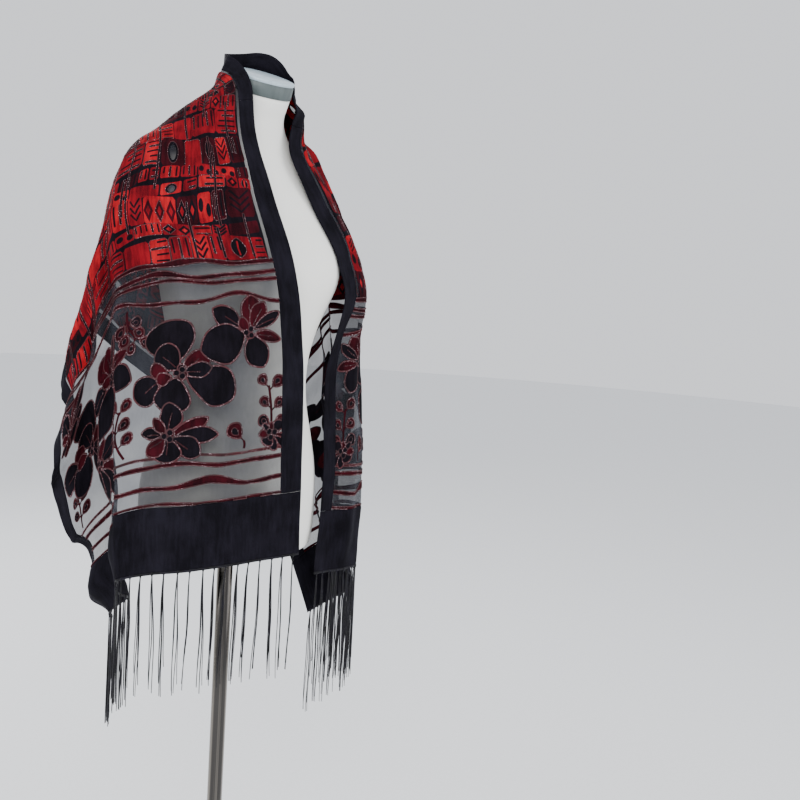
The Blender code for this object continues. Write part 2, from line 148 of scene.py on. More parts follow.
class Surface:
    """One material and the nodes that make it."""

    def __init__(self, name: str) -> None:
        """Make a material with its Principled shader."""
        self.material = bpy.data.materials.new(name)
        self.material.use_nodes = True
        self.tree = self.material.node_tree
        self.shader = self.tree.nodes["Principled BSDF"]

    def node(self, kind: str, settings: dict[str, object], inputs: dict[object, object]) -> bpy.types.Node:
        """Make one node.

        Args:
            kind: The node's type.
            settings: Its settings, which are set first.
            inputs: The values or links of its sockets, by name or number.

        Returns:
            The node.
        """
        made = self.tree.nodes.new(kind)
        for name, value in settings.items():
            setattr(made, name, value)
        for key, value in inputs.items():
            self.feed(made.inputs[key], value)
        return made

    def feed(self, socket: Socket, value: object) -> None:
        """Set a socket to a plain value, or link a signal or a socket to it."""
        if isinstance(value, Signal):
            self.tree.links.new(value.socket, socket)
        elif isinstance(value, Socket):
            self.tree.links.new(value, socket)
        else:
            socket.default_value = value

    def cloth_place(self) -> Socket:
        """Give the place on the flat cloth, in metres."""
        settings = {"attribute_type": "GEOMETRY", "attribute_name": "cloth"}
        return self.node("ShaderNodeAttribute", settings, {}).outputs["Vector"]

    def space_place(self) -> Socket:
        """Give the place in space, in metres."""
        return self.node("ShaderNodeTexCoord", {}, {}).outputs["Object"]

    def scaled(self, place: Socket, scale: Triple) -> Socket:
        """Stretch a place by a factor for each axis."""
        made = self.node("ShaderNodeVectorMath", {"operation": "MULTIPLY"}, {0: place, 1: scale})
        return made.outputs["Vector"]

    def parts(self, place: Socket) -> tuple["Signal", "Signal", "Signal"]:
        """Split a place into its three numbers."""
        made = self.node("ShaderNodeSeparateXYZ", {}, {0: place})
        return tuple(Signal(self, socket) for socket in made.outputs)

    def noise(self, place: Socket, scale: float, detail: float) -> Signal:
        """Give soft noise with about `scale` lumps a metre."""
        made = self.node("ShaderNodeTexNoise", {}, {"Vector": place, "Scale": scale, "Detail": detail})
        return Signal(self, made.outputs[0])

    def cells(self, place: Socket, scale: float) -> Signal:
        """Give the distance to the nearest of many scattered points."""
        made = self.node("ShaderNodeTexVoronoi", {}, {"Vector": place, "Scale": scale})
        return Signal(self, made.outputs["Distance"])

    def mix(self, factor: Signal, first: object, second: object) -> Socket:
        """Mix two colours, each a colour or a socket."""
        ends = [(*end, 1.0) if isinstance(end, tuple) else end for end in (first, second)]
        made = self.node("ShaderNodeMix", {"data_type": "RGBA"}, {0: factor, 6: ends[0], 7: ends[1]})
        return made.outputs[2]

    def bump(self, height: Signal, depth: float, strength: float) -> None:
        """Raise the surface by a height signal of the given depth in metres."""
        made = self.node("ShaderNodeBump", {}, {"Height": height, "Distance": depth, "Strength": strength})
        self.feed(self.shader.inputs["Normal"], made.outputs["Normal"])

    def set(self, **values: object) -> Material:
        """Set or link the shader's sockets, with underscores for spaces, and return the material."""
        for name, value in values.items():
            plain = (*value, 1.0) if isinstance(value, tuple) and len(value) == 3 else value
            self.feed(self.shader.inputs[name.replace("_", " ")], plain)
        return self.material


@dataclass(frozen=True)
class Velvet:
    """Cut pile: a painted sheen in brushed patches and streaks, painted glints on the fine nap, and a real
    sheen at grazing angles.
    """

    name: str
    deep: Colour
    painted_sheen: Colour
    sheen_and_glint: Colour
    sheen: float
    patches_per_metre: float = 26.0
    naps_per_metre: float = 1100.0
    streaks_per_metre: Triple = (30.0, 160.0, 1.0)
    patch_share: float = 0.6
    painted_sheen_range: Pair = (0.40, 0.62)
    painted_glint_range: Pair = (0.52, 0.80)
    painted_glint_share: float = 0.40
    nap_depth: float = 0.0007

    def dress(self) -> Material:
        """Make the material."""
        surface = Surface(self.name)
        place = surface.cloth_place()
        brushed_sheen = surface.noise(place, self.patches_per_metre, 4.0)
        sheen_streaks = surface.noise(surface.scaled(place, self.streaks_per_metre), 1.0, 3.0)
        nap = surface.noise(place, self.naps_per_metre, 2.0)
        # Painted sheen: brushed patches and streaks mix the pile's own deep colour towards a lighter painted
        # sheen colour.
        painted_sheen_mix = (brushed_sheen * self.patch_share + sheen_streaks * (1.0 - self.patch_share)).between(*self.painted_sheen_range)
        colour = surface.mix(painted_sheen_mix, self.deep, self.painted_sheen)
        # Painted glints: the fine nap flecks the colour towards the sheen colour, which also tints the real
        # sheen.
        painted_glint_colour = surface.mix(nap.between(*self.painted_glint_range) * self.painted_glint_share, colour, self.sheen_and_glint)
        surface.bump(nap + brushed_sheen * 0.8, self.nap_depth, 0.55)
        return surface.set(
            Base_Color=painted_glint_colour,
            Roughness=0.72 + nap * 0.2,
            Sheen_Weight=self.sheen,
            Sheen_Roughness=0.30,
            Sheen_Tint=self.sheen_and_glint,
            Specular_IOR_Level=0.06,
        )


@dataclass(frozen=True)
class Chiffon:
    """Sheer crinkled ground: fine crossed threads with light between them."""

    name: str
    thread: Colour
    light_thread: Colour
    cover: float = 0.67
    weave_pitch: float = 0.0009
    crinkles_per_metre: Triple = (60.0, 220.0, 1.0)
    clouds_per_metre: float = 14.0
    cloud_range: Pair = (0.35, 0.65)
    thread_cover: float = 0.06
    cloud_cover: float = 0.34
    crinkle_depth: float = 0.0005

    def dress(self) -> Material:
        """Make the material."""
        surface = Surface(self.name)
        place = surface.cloth_place()
        along, across, _ = surface.parts(place)
        turns = TURN / self.weave_pitch
        weave = (along * turns).sine() * (across * turns).sine()
        crinkle = surface.noise(surface.scaled(place, self.crinkles_per_metre), 1.0, 3.0)
        cloud = surface.noise(place, self.clouds_per_metre, 3.0)
        surface.bump(crinkle + weave * 0.2, self.crinkle_depth, 0.5)
        threads = self.cover + weave * self.thread_cover + (crinkle - 0.5) * self.thread_cover
        return surface.set(
            Base_Color=surface.mix(cloud.between(*self.cloud_range), self.thread, self.light_thread),
            Roughness=0.55 + crinkle * 0.2,
            Alpha=threads + (cloud - 0.5) * self.cloud_cover,
            Sheen_Weight=0.10,
            Sheen_Roughness=0.4,
            Sheen_Tint=(0.5, 0.55, 0.7),
            Specular_IOR_Level=0.15,
        )


@dataclass(frozen=True)
class GlitterTrim:
    """Flocked line with silver flecks stuck on it."""

    name: str
    flock: Colour
    deep_flock: Colour
    fleck: Colour
    flecks_per_metre: float = 640.0
    fleck_limit: float = 0.745
    crowds_per_metre: float = 55.0
    crowd_limit: float = 0.47
    grains_per_metre: float = 900.0
    tints_per_metre: float = 40.0
    tint_range: Pair = (0.35, 0.65)
    grain_depth: float = 0.0005

    def dress(self) -> Material:
        """Make the material."""
        surface = Surface(self.name)
        place = surface.cloth_place()
        spot = 1.0 - surface.cells(place, self.flecks_per_metre)
        crowd = surface.noise(place, self.crowds_per_metre, 2.0).above(self.crowd_limit)
        shown = spot.above(self.fleck_limit) * crowd
        grain = surface.noise(place, self.grains_per_metre, 2.0)
        tint = surface.noise(place, self.tints_per_metre, 2.0).between(*self.tint_range)
        flock = surface.mix(tint, self.deep_flock, self.flock)
        surface.bump(grain + shown * 0.8, self.grain_depth, 0.5)
        return surface.set(
            Base_Color=surface.mix(shown, flock, self.fleck),
            Metallic=shown * 0.8,
            Roughness=0.75 - shown * 0.45,
            Sheen_Weight=0.10,
            Sheen_Roughness=0.4,
            Sheen_Tint=(0.6, 0.1, 0.1),
        )


@dataclass(frozen=True)
class TwistedThread:
    """Glossy twisted rayon thread."""

    name: str
    dark: Colour
    tint: Colour
    twist_pitch: float = 0.0028
    twist_depth: float = 0.0003
    slant: float = 1.2
    tints_per_metre: float = 60.0
    tint_range: Pair = (0.4, 0.7)
    wears_per_metre: float = 300.0

    def dress(self) -> Material:
        """Make the material."""
        surface = Surface(self.name)
        place = surface.space_place()
        x, y, z = surface.parts(place)
        turn = TURN / self.twist_pitch
        twist = (z * turn + (x + y) * (turn * self.slant)).sine()
        surface.bump(twist, self.twist_depth, 0.6)
        tinted = surface.noise(place, self.tints_per_metre, 2.0).between(*self.tint_range)
        return surface.set(
            Base_Color=surface.mix(tinted, self.dark, self.tint),
            Roughness=0.42 + surface.noise(place, self.wears_per_metre, 2.0) * 0.2,
            Specular_IOR_Level=0.22,
        )


@dataclass(frozen=True)
class JerseyCover:
    """Fine knitted cover stretched over a smooth form."""

    name: str
    light: Colour
    shade: Colour
    stitch_pitch: float = 0.0012
    stitch_depth: float = 0.00025
    slant: float = 0.7
    tones_per_metre: float = 5.0
    tone_range: Pair = (0.35, 0.7)
    fibres_per_metre: float = 1400.0

    def dress(self) -> Material:
        """Make the material."""
        surface = Surface(self.name)
        place = surface.space_place()
        x, y, z = surface.parts(place)
        turn = TURN / self.stitch_pitch
        rows = (z * turn).sine()
        wales = ((x + y * self.slant) * turn).sine()
        tone = surface.noise(place, self.tones_per_metre, 3.0)
        fibre = surface.noise(place, self.fibres_per_metre, 2.0)
        surface.bump(rows * wales * 0.5 + fibre, self.stitch_depth, 0.35)
        shaded = tone.between(*self.tone_range) * 0.8 + fibre * 0.2
        return surface.set(
            Base_Color=surface.mix(shaded, self.light, self.shade),
            Roughness=0.68 + fibre * 0.15,
            Sheen_Weight=0.12,
            Sheen_Tint=(1.0, 0.98, 0.94),
        )


@dataclass(frozen=True)
class HardFinish:
    """Paint, plastic or plated metal, with faint wear; on the chrome the dark colour and its lighter streaks
    are painted reflections.
    """

    name: str
    colour: Colour
    wear_and_reflection: Colour
    roughness: float
    metallic: float = 0.0
    coat: float = 0.0
    streaks_per_metre: Triple = (110.0, 110.0, 1.2)
    specks_per_metre: float = 420.0
    wear_and_reflection_range: Pair = (0.45, 0.75)
    wear_depth: float = 0.0001

    def dress(self) -> Material:
        """Make the material."""
        surface = Surface(self.name)
        place = surface.space_place()
        wear_and_reflection_marks = surface.noise(surface.scaled(place, self.streaks_per_metre), 1.0, 3.0)
        specks = surface.noise(place, self.specks_per_metre, 3.0)
        surface.bump(specks + wear_and_reflection_marks * 0.5, self.wear_depth, 0.25)
        return surface.set(
            # The streaked second colour is faint wear on most finishes, and a painted reflection on the
            # chrome.
            Base_Color=surface.mix(wear_and_reflection_marks.between(*self.wear_and_reflection_range), self.colour, self.wear_and_reflection),
            Roughness=self.roughness + wear_and_reflection_marks * 0.08 + specks * 0.04,
            Metallic=self.metallic,
            Coat_Weight=self.coat,
        )


# Each velvet: its own deep colour, a lighter painted sheen colour, the sheen tint that also colours its
# painted glints, and the sheen weight.
VELVETS = {
    Tone.BLACK: Velvet(
        "black_pile", (0.0018, 0.0013, 0.0024), (0.0058, 0.0044, 0.0076), (0.026, 0.020, 0.032), 0.12
    ),
    Tone.MAROON: Velvet(
        "maroon_pile", (0.009, 0.0010, 0.0024), (0.040, 0.0026, 0.0062), (0.13, 0.010, 0.020), 0.12
    ),
    Tone.RED: Velvet(
        "red_pile", (0.060, 0.0020, 0.0050), (0.225, 0.0050, 0.0105), (0.42, 0.016, 0.026), 0.14
    ),
    Tone.BRIGHT: Velvet(
        "bright_pile", (0.110, 0.0028, 0.0065), (0.385, 0.0085, 0.0135), (0.70, 0.030, 0.036), 0.16
    ),
}
# The border velvet has the same painted sheen and glints, in coarser brushed patches.
BORDER_VELVET = Velvet(
    "border_velvet", (0.0022, 0.0018, 0.0032), (0.0082, 0.0072, 0.0118), (0.042, 0.040, 0.060), 0.24, 18.0
)
GROUND = Chiffon("sheer_ground", (0.010, 0.0105, 0.0140), (0.030, 0.032, 0.041))
TRIM = GlitterTrim("glitter_trim", (0.056, 0.0032, 0.0070), (0.020, 0.0015, 0.0038), (0.64, 0.47, 0.51))
THREAD = TwistedThread("fringe_thread", (0.0010, 0.0008, 0.0020), (0.0052, 0.0040, 0.0105))
COVER = JerseyCover("form_cover", (0.95, 0.945, 0.895), (0.89, 0.88, 0.825))
CAP_SIDE = HardFinish("cap_side", (0.078, 0.100, 0.100), (0.058, 0.075, 0.075), 0.50, coat=0.05)
CAP_TOP = HardFinish("cap_top", (0.44, 0.54, 0.60), (0.37, 0.46, 0.51), 0.30, coat=0.3)
FITTING = HardFinish("dark_fitting", (0.020, 0.020, 0.021), (0.040, 0.040, 0.040), 0.45)
# Chrome pole: a dark base that paints its dark reflections, and light bronze upright streaks that paint its
# bright ones.
CHROME = HardFinish("chrome", (0.062, 0.058, 0.055), (0.52, 0.47, 0.40), 0.12, 1.0, 0.0, (95.0, 95.0, 0.25))
BASE_PLATE = HardFinish("base_plate", (0.40, 0.39, 0.37), (0.46, 0.45, 0.42), 0.16, 1.0, 0.0, (9.0, 9.0, 9.0))
FLOOR = HardFinish("pale_floor", (0.84, 0.85, 0.86), (0.81, 0.82, 0.83), 0.70)


@dataclass
class Finishes:
    """Every made material, by what wears it."""

    piles: list[Material]
    border: Material
    ground: Material
    trim: Material
    thread: Material
    cover: Material
    cap_side: Material
    cap_top: Material
    fitting: Material
    chrome: Material
    base_plate: Material
    floor: Material

    @classmethod
    def make(cls) -> "Finishes":
        """Make all the materials."""
        piles = [VELVETS[tone].dress() for tone in Tone if tone is not Tone.SHEER]
        rest = (BORDER_VELVET, GROUND, TRIM, THREAD, COVER)
        rest += (CAP_SIDE, CAP_TOP, FITTING, CHROME, BASE_PLATE, FLOOR)
        return cls(piles, *[finish.dress() for finish in rest])


class Ring(NamedTuple):
    """One horizontal ring of the form."""

    height: float
    half_width: float
    half_depth: float
    centre_y: float
    squareness: float
    slope: float


FORM_RINGS = tuple(Ring(*row) for row in (
    (0.72, 0.163, 0.113, -0.002, 2.2, 0.0), (0.74, 0.167, 0.116, -0.002, 2.2, 0.0),
    (0.8, 0.17, 0.119, -0.001, 2.2, 0.0), (0.86, 0.165, 0.117, -0.002, 2.2, 0.0),
    (0.92, 0.15, 0.108, -0.005, 2.2, 0.0), (0.97, 0.134, 0.1, -0.009, 2.2, 0.0),
    (1.01, 0.127, 0.096, -0.012, 2.2, 0.0), (1.05, 0.128, 0.096, -0.013, 2.2, 0.0),
    (1.1, 0.136, 0.099, -0.012, 2.3, 0.0), (1.15, 0.147, 0.103, -0.01, 2.3, 0.0),
    (1.2, 0.157, 0.106, -0.008, 2.3, 0.0), (1.25, 0.166, 0.106, -0.004, 2.3, 0.0),
    (1.295, 0.18, 0.1, 0.002, 2.3, 0.0), (1.33, 0.19, 0.09, 0.008, 2.3, 0.0),
    (1.352, 0.19, 0.081, 0.011, 2.3, 0.0), (1.372, 0.176, 0.072, 0.012, 2.2, 0.0),
    (1.392, 0.142, 0.063, 0.01, 2.1, 0.0), (1.415, 0.102, 0.056, 0.004, 2.0, 0.02),
    (1.44, 0.072, 0.053, -0.004, 2.0, 0.08), (1.465, 0.058, 0.052, -0.012, 2.0, 0.16),
    (1.48, 0.055, 0.052, -0.019, 2.0, 0.23), (1.497, 0.054, 0.052, -0.026, 2.0, 0.28),
))


class Section(NamedTuple):
    """One section across the cloth: three guide points in space, and how it bows between them."""

    along: float
    edge_x: float
    edge_y: float
    edge_z: float
    ridge_x: float
    ridge_y: float
    ridge_z: float
    outer_x: float
    outer_y: float
    outer_z: float
    front_bow: float
    front_lift: float
    back_bow: float


SECTIONS = tuple(Section(*row) for row in (
    (-0.99, 0.102, -0.118, 0.68, 0.25, -0.026, 0.655, 0.282, 0.056, 0.53, 0.06, 0.01, 0.074),
    (-0.82, 0.128, -0.104, 0.85, 0.252, -0.006, 0.825, 0.256, 0.104, 0.68, 0.066, 0.01, 0.054),
    (-0.64, 0.132, -0.094, 1.03, 0.25, 0.019, 1.005, 0.252, 0.142, 0.8, 0.064, 0.01, 0.03),
    (-0.48, 0.114, -0.139, 1.185, 0.24, 0.03, 1.165, 0.248, 0.125, 0.93, 0.042, 0.01, 0.014),
    (-0.35, 0.072, -0.098, 1.31, 0.235, 0.028, 1.298, 0.214, 0.142, 1.02, 0.028, 0.01, 0.012),
    (-0.24, 0.044, -0.062, 1.402, 0.204, 0.043, 1.387, 0.174, 0.175, 1.09, 0.012, 0.018, 0.012),
    (-0.1, 0.058, -0.041, 1.529, 0.112, 0.122, 1.325, 0.098, 0.188, 1.045, 0.004, 0.022, 0.01),
    (-0.05, 0.04, -0.005, 1.565, 0.058, 0.139, 1.294, 0.051, 0.179, 1.009, -0.004, 0.015, 0.008),
    (0.0, 0.013, 0.02, 1.563, 0.0, 0.146, 1.275, 0.0, 0.172, 0.985, -0.01, 0.01, 0.006),
    (0.08, -0.044, -0.026, 1.545, -0.09, 0.132, 1.312, -0.078, 0.184, 1.025, 0.0, 0.024, 0.01),
    (0.15, -0.052, -0.061, 1.509, -0.148, 0.102, 1.362, -0.13, 0.188, 1.065, 0.004, 0.034, 0.01),
    (0.25, -0.06, -0.087, 1.425, -0.207, 0.054, 1.374, -0.183, 0.178, 1.085, 0.012, 0.016, 0.012),
    (0.35, -0.06, -0.128, 1.338, -0.231, 0.042, 1.29, -0.218, 0.144, 1.02, 0.034, 0.01, 0.014),
    (0.48, -0.032, -0.162, 1.214, -0.223, 0.038, 1.17, -0.258, 0.136, 0.935, 0.05, 0.01, 0.01),
    (0.62, -0.014, -0.172, 1.08, -0.216, 0.036, 1.03, -0.24, 0.176, 0.816, 0.05, 0.01, 0.0),
    (0.78, -0.006, -0.174, 0.915, -0.211, 0.035, 0.865, -0.156, 0.208, 0.694, 0.048, 0.01, -0.004),
    (0.95, 0.0, -0.174, 0.745, -0.206, 0.032, 0.69, -0.08, 0.204, 0.558, 0.046, 0.01, -0.004),
))


class Fold(NamedTuple):
    """One fold that runs along the cloth; below zero its height is a trough."""

    from_along: float
    to_along: float
    from_across: float
    to_across: float
    half_width: float
    height: float


FOLDS = tuple(Fold(*row) for row in (
    (0.2, 1.05, 0.318, 0.322, 0.012, 0.012), (0.24, 1.05, 0.356, 0.36, 0.016, -0.008),
    (0.5, 0.99, 0.235, 0.205, 0.022, 0.007), (0.3, 0.85, 0.12, 0.105, 0.03, 0.005),
    (0.36, 1.05, 0.452, 0.474, 0.024, -0.022), (0.34, 0.8, 0.395, 0.4, 0.02, 0.006),
    (0.34, 1.05, 0.54, 0.545, 0.026, 0.012), (-0.58, -0.1, 0.054, 0.05, 0.022, 0.018),
    (-1.05, -0.22, 0.322, 0.315, 0.02, 0.02), (-1.05, -0.3, 0.078, 0.085, 0.018, 0.015),
    (-1.05, -0.36, 0.242, 0.236, 0.024, -0.024), (-1.05, -0.32, 0.468, 0.456, 0.023, -0.028),
    (-1.05, -0.36, 0.394, 0.388, 0.021, 0.019), (-1.05, -0.3, 0.54, 0.534, 0.024, 0.024),
))


class Flute(NamedTuple):
    """One flute of the back, at its place along."""

    along: float
    half_width: float
    height: float


FLUTES = tuple(Flute(*row) for row in (
    (-0.84, 0.022, -0.02), (-0.76, 0.023, 0.022), (-0.67, 0.023, -0.022),
    (-0.58, 0.023, 0.022), (-0.49, 0.024, -0.023), (-0.4, 0.024, 0.019),
    (-0.3, 0.036, 0.01), (-0.19, 0.036, -0.026), (-0.09, 0.032, 0.014),
    (0.0, 0.028, 0.01), (0.09, 0.032, -0.02), (0.18, 0.034, 0.016),
    (0.29, 0.032, -0.024), (0.38, 0.025, 0.02), (0.47, 0.024, -0.02),
    (0.555, 0.024, 0.02), (0.64, 0.023, -0.021), (0.72, 0.024, 0.01),
    (0.8, 0.024, -0.019), (0.885, 0.023, 0.022),
))


class Crease(NamedTuple):
    """One small crease between two places on the cloth; below zero its height is a trough."""

    from_along: float
    from_across: float
    to_along: float
    to_across: float
    half_width: float
    height: float


CREASES = tuple(Crease(*row) for row in (
    (-0.22, 0.032, 0.22, 0.032, 0.016, 0.008), (0.3, 0.545, 0.31, 0.64, 0.008, 0.006),
    (0.345, 0.55, 0.335, 0.64, 0.007, -0.005), (0.425, 0.545, 0.43, 0.64, 0.008, 0.0062),
    (0.515, 0.55, 0.505, 0.64, 0.008, -0.0055), (0.6, 0.545, 0.608, 0.64, 0.008, 0.0058),
    (0.68, 0.55, 0.674, 0.64, 0.008, -0.0055), (0.755, 0.545, 0.762, 0.64, 0.008, 0.006),
    (0.83, 0.55, 0.836, 0.64, 0.008, -0.005), (-0.45, 0.55, -0.456, 0.64, 0.008, 0.005),
    (-0.63, 0.545, -0.622, 0.64, 0.008, -0.005), (-0.8, 0.55, -0.806, 0.64, 0.008, 0.005),
    (0.18, 0.09, 0.42, 0.15, 0.009, 0.004), (-0.165, -0.03, -0.15, 0.08, 0.006, 0.0054),
    (-0.138, -0.03, -0.13, 0.075, 0.005, -0.0048), (-0.1, -0.03, -0.104, 0.085, 0.006, 0.0054),
    (-0.07, -0.03, -0.066, 0.08, 0.005, -0.0048), (-0.036, -0.03, -0.04, 0.085, 0.006, 0.0044),
    (0.045, -0.03, 0.052, 0.08, 0.006, -0.004), (0.078, -0.03, 0.084, 0.085, 0.006, 0.0044),
    (0.112, -0.03, 0.116, 0.075, 0.005, -0.0038), (0.15, -0.03, 0.158, 0.085, 0.006, 0.0042),
    (0.2, 0.125, 0.36, 0.2, 0.008, -0.0028), (0.24, 0.06, 0.46, 0.09, 0.007, 0.0026),
    (0.26, 0.21, 0.4, 0.285, 0.01, 0.0036), (0.3, 0.16, 0.31, 0.235, 0.006, -0.0022),
    (0.36, 0.27, 0.58, 0.245, 0.008, -0.003), (0.48, 0.18, 0.72, 0.17, 0.007, 0.0024),
    (0.66, 0.12, 0.94, 0.135, 0.009, 0.003), (0.74, 0.085, 0.95, 0.06, 0.007, -0.0022),
    (0.7, 0.262, 0.95, 0.268, 0.009, -0.0036), (0.8, 0.18, 0.95, 0.165, 0.006, 0.0024),
    (0.4, 0.5, 0.72, 0.52, 0.012, 0.004), (0.46, 0.415, 0.66, 0.38, 0.009, -0.0026),
    (0.3, 0.36, 0.42, 0.43, 0.009, 0.003), (0.06, 0.1, 0.16, 0.26, 0.01, 0.0034),
    (0.1, 0.07, 0.24, 0.15, 0.008, -0.0028), (-0.04, 0.11, -0.09, 0.25, 0.01, 0.0034),
    (0.02, 0.09, 0.05, 0.23, 0.009, -0.003), (-0.12, 0.075, -0.28, 0.17, 0.009, 0.007),
    (-0.18, 0.15, -0.46, 0.215, 0.011, 0.007), (-0.2, 0.08, -0.48, 0.12, 0.009, 0.0075),
    (-0.4, 0.25, -0.6, 0.23, 0.009, 0.003), (-0.52, 0.15, -0.78, 0.135, 0.008, -0.0028),
    (-0.7, 0.255, -0.97, 0.27, 0.01, 0.004), (-0.66, 0.4, -0.92, 0.39, 0.012, 0.0044),
    (-0.46, 0.5, -0.7, 0.525, 0.012, -0.0036), (-0.86, 0.5, -0.99, 0.52, 0.012, 0.005),
    (-0.05, 0.34, -0.02, 0.52, 0.012, -0.0036), (0.12, 0.36, 0.14, 0.56, 0.01, 0.0034),
    (-0.14, 0.34, -0.15, 0.56, 0.011, 0.0036),
))


def columns(*parts: Array) -> Array:
    """Stand rows of values side by side."""
    return np.stack(parts, axis=1)


def unit(vectors: Array) -> Array:
    """Give the directions of vectors, each of length one."""
    return vectors / np.maximum(np.linalg.norm(vectors, axis=-1, keepdims=True), TINY)


def bell(distance: Array, width: float) -> Array:
    """Give the height of a bell curve at a distance from its middle."""
    return np.exp(-0.5 * (distance / width) ** 2)


def full_turn(count: int) -> Array:
    """Give even angles once round a circle."""
    return TURN * np.arange(count) / count


class Curve:
    """A smooth curve through rows of a table, read at many places at once."""

    def __init__(self, stations: Array, at: Array) -> None:
        """Work out which rows each place lies between, and how it blends them."""
        self.stations = np.asarray(stations, float)
        at = np.clip(at, self.stations[0], self.stations[-1])
        last = len(self.stations) - 2
        self.left = np.clip(np.searchsorted(self.stations, at, side="right") - 1, 0, last)
        self.span = self.stations[self.left + 1] - self.stations[self.left]
        self.part = (at - self.stations[self.left]) / self.span

    def read(self, values: Array) -> Array:
        """Read values by row, or by row and place, at each place.

        Args:
            values: One value a row, or a row of values for each place.

        Returns:
            The value at each place.
        """
        slopes = np.gradient(values, self.stations, axis=0)
        place = () if values.ndim == 1 else (np.arange(len(self.left)),)
        here = (self.left, *place)
        after = (self.left + 1, *place)
        t = self.part
        start = (1 + 2 * t) * (1 - t) ** 2 * values[here]
        leave = t * (1 - t) ** 2 * self.span * slopes[here]
        end = t**2 * (3 - 2 * t) * values[after]
        arrive = t**2 * (t - 1) * self.span * slopes[after]
        return start + leave + end + arrive


@dataclass
class FormShape:
    """The dress form's smooth skin, worked out from its rings."""

    bust_half_spread: float = 0.083
    bust_height: float = 1.205
    bust_reach: float = 0.036
    bust_width: float = 0.046
    bust_rise: float = 0.055
    bust_front_fade: float = 0.023

    def ring(self, heights: Array) -> dict[str, Array]:
        """Give the sizes of the form's rings at many heights."""
        table = np.array(FORM_RINGS)
        curve = Curve(table[:, 0], heights)
        sizes = {name: curve.read(table[:, index + 1]) for index, name in enumerate(Ring._fields[1:])}
        sizes["height"] = heights
        return sizes

    def radius(self, ring: dict[str, Array], angle: Array) -> Array:
        """Give the distance from the rings' centres to the skin.

        Args:
            ring: The rings' sizes.
            angle: The direction from each centre.

        Returns:
            The distances.
        """
        power = ring["squareness"]
        wide = np.abs(np.cos(angle) / ring["half_width"]) ** power
        deep = np.abs(np.sin(angle) / ring["half_depth"]) ** power
        plain = (wide + deep) ** (-1.0 / power)
        x = plain * np.cos(angle)
        y = plain * np.sin(angle)
        rise = (ring["height"] - self.bust_height) / self.bust_rise
        swell = np.zeros_like(plain)
        for side in (-1, 1):
            spread = (x - side * self.bust_half_spread) / self.bust_width
            swell += np.exp(-0.5 * (spread**2 + rise**2))
        front = np.clip(-y / self.bust_front_fade, 0.0, 1.0)
        return plain + self.bust_reach * swell * front

    def points(self, heights: Array, sides: int, grow: float | Array = 0.0) -> Array:
        """Give rings of skin points.

        Args:
            heights: The rings' heights.
            sides: The number of points on a ring.
            grow: How far the rings stand out from the skin.

        Returns:
            Points by ring and side.
        """
        tall = np.repeat(heights, sides)
        angle = np.tile(full_turn(sides), len(heights))
        ring = self.ring(tall)
        away = self.radius(ring, angle) + np.repeat(np.broadcast_to(grow, len(heights)), sides)
        x = away * np.cos(angle)
        y = away * np.sin(angle)
        skin = columns(x, y + ring["centre_y"], tall + ring["slope"] * y)
        return skin.reshape(len(heights), sides, 3)


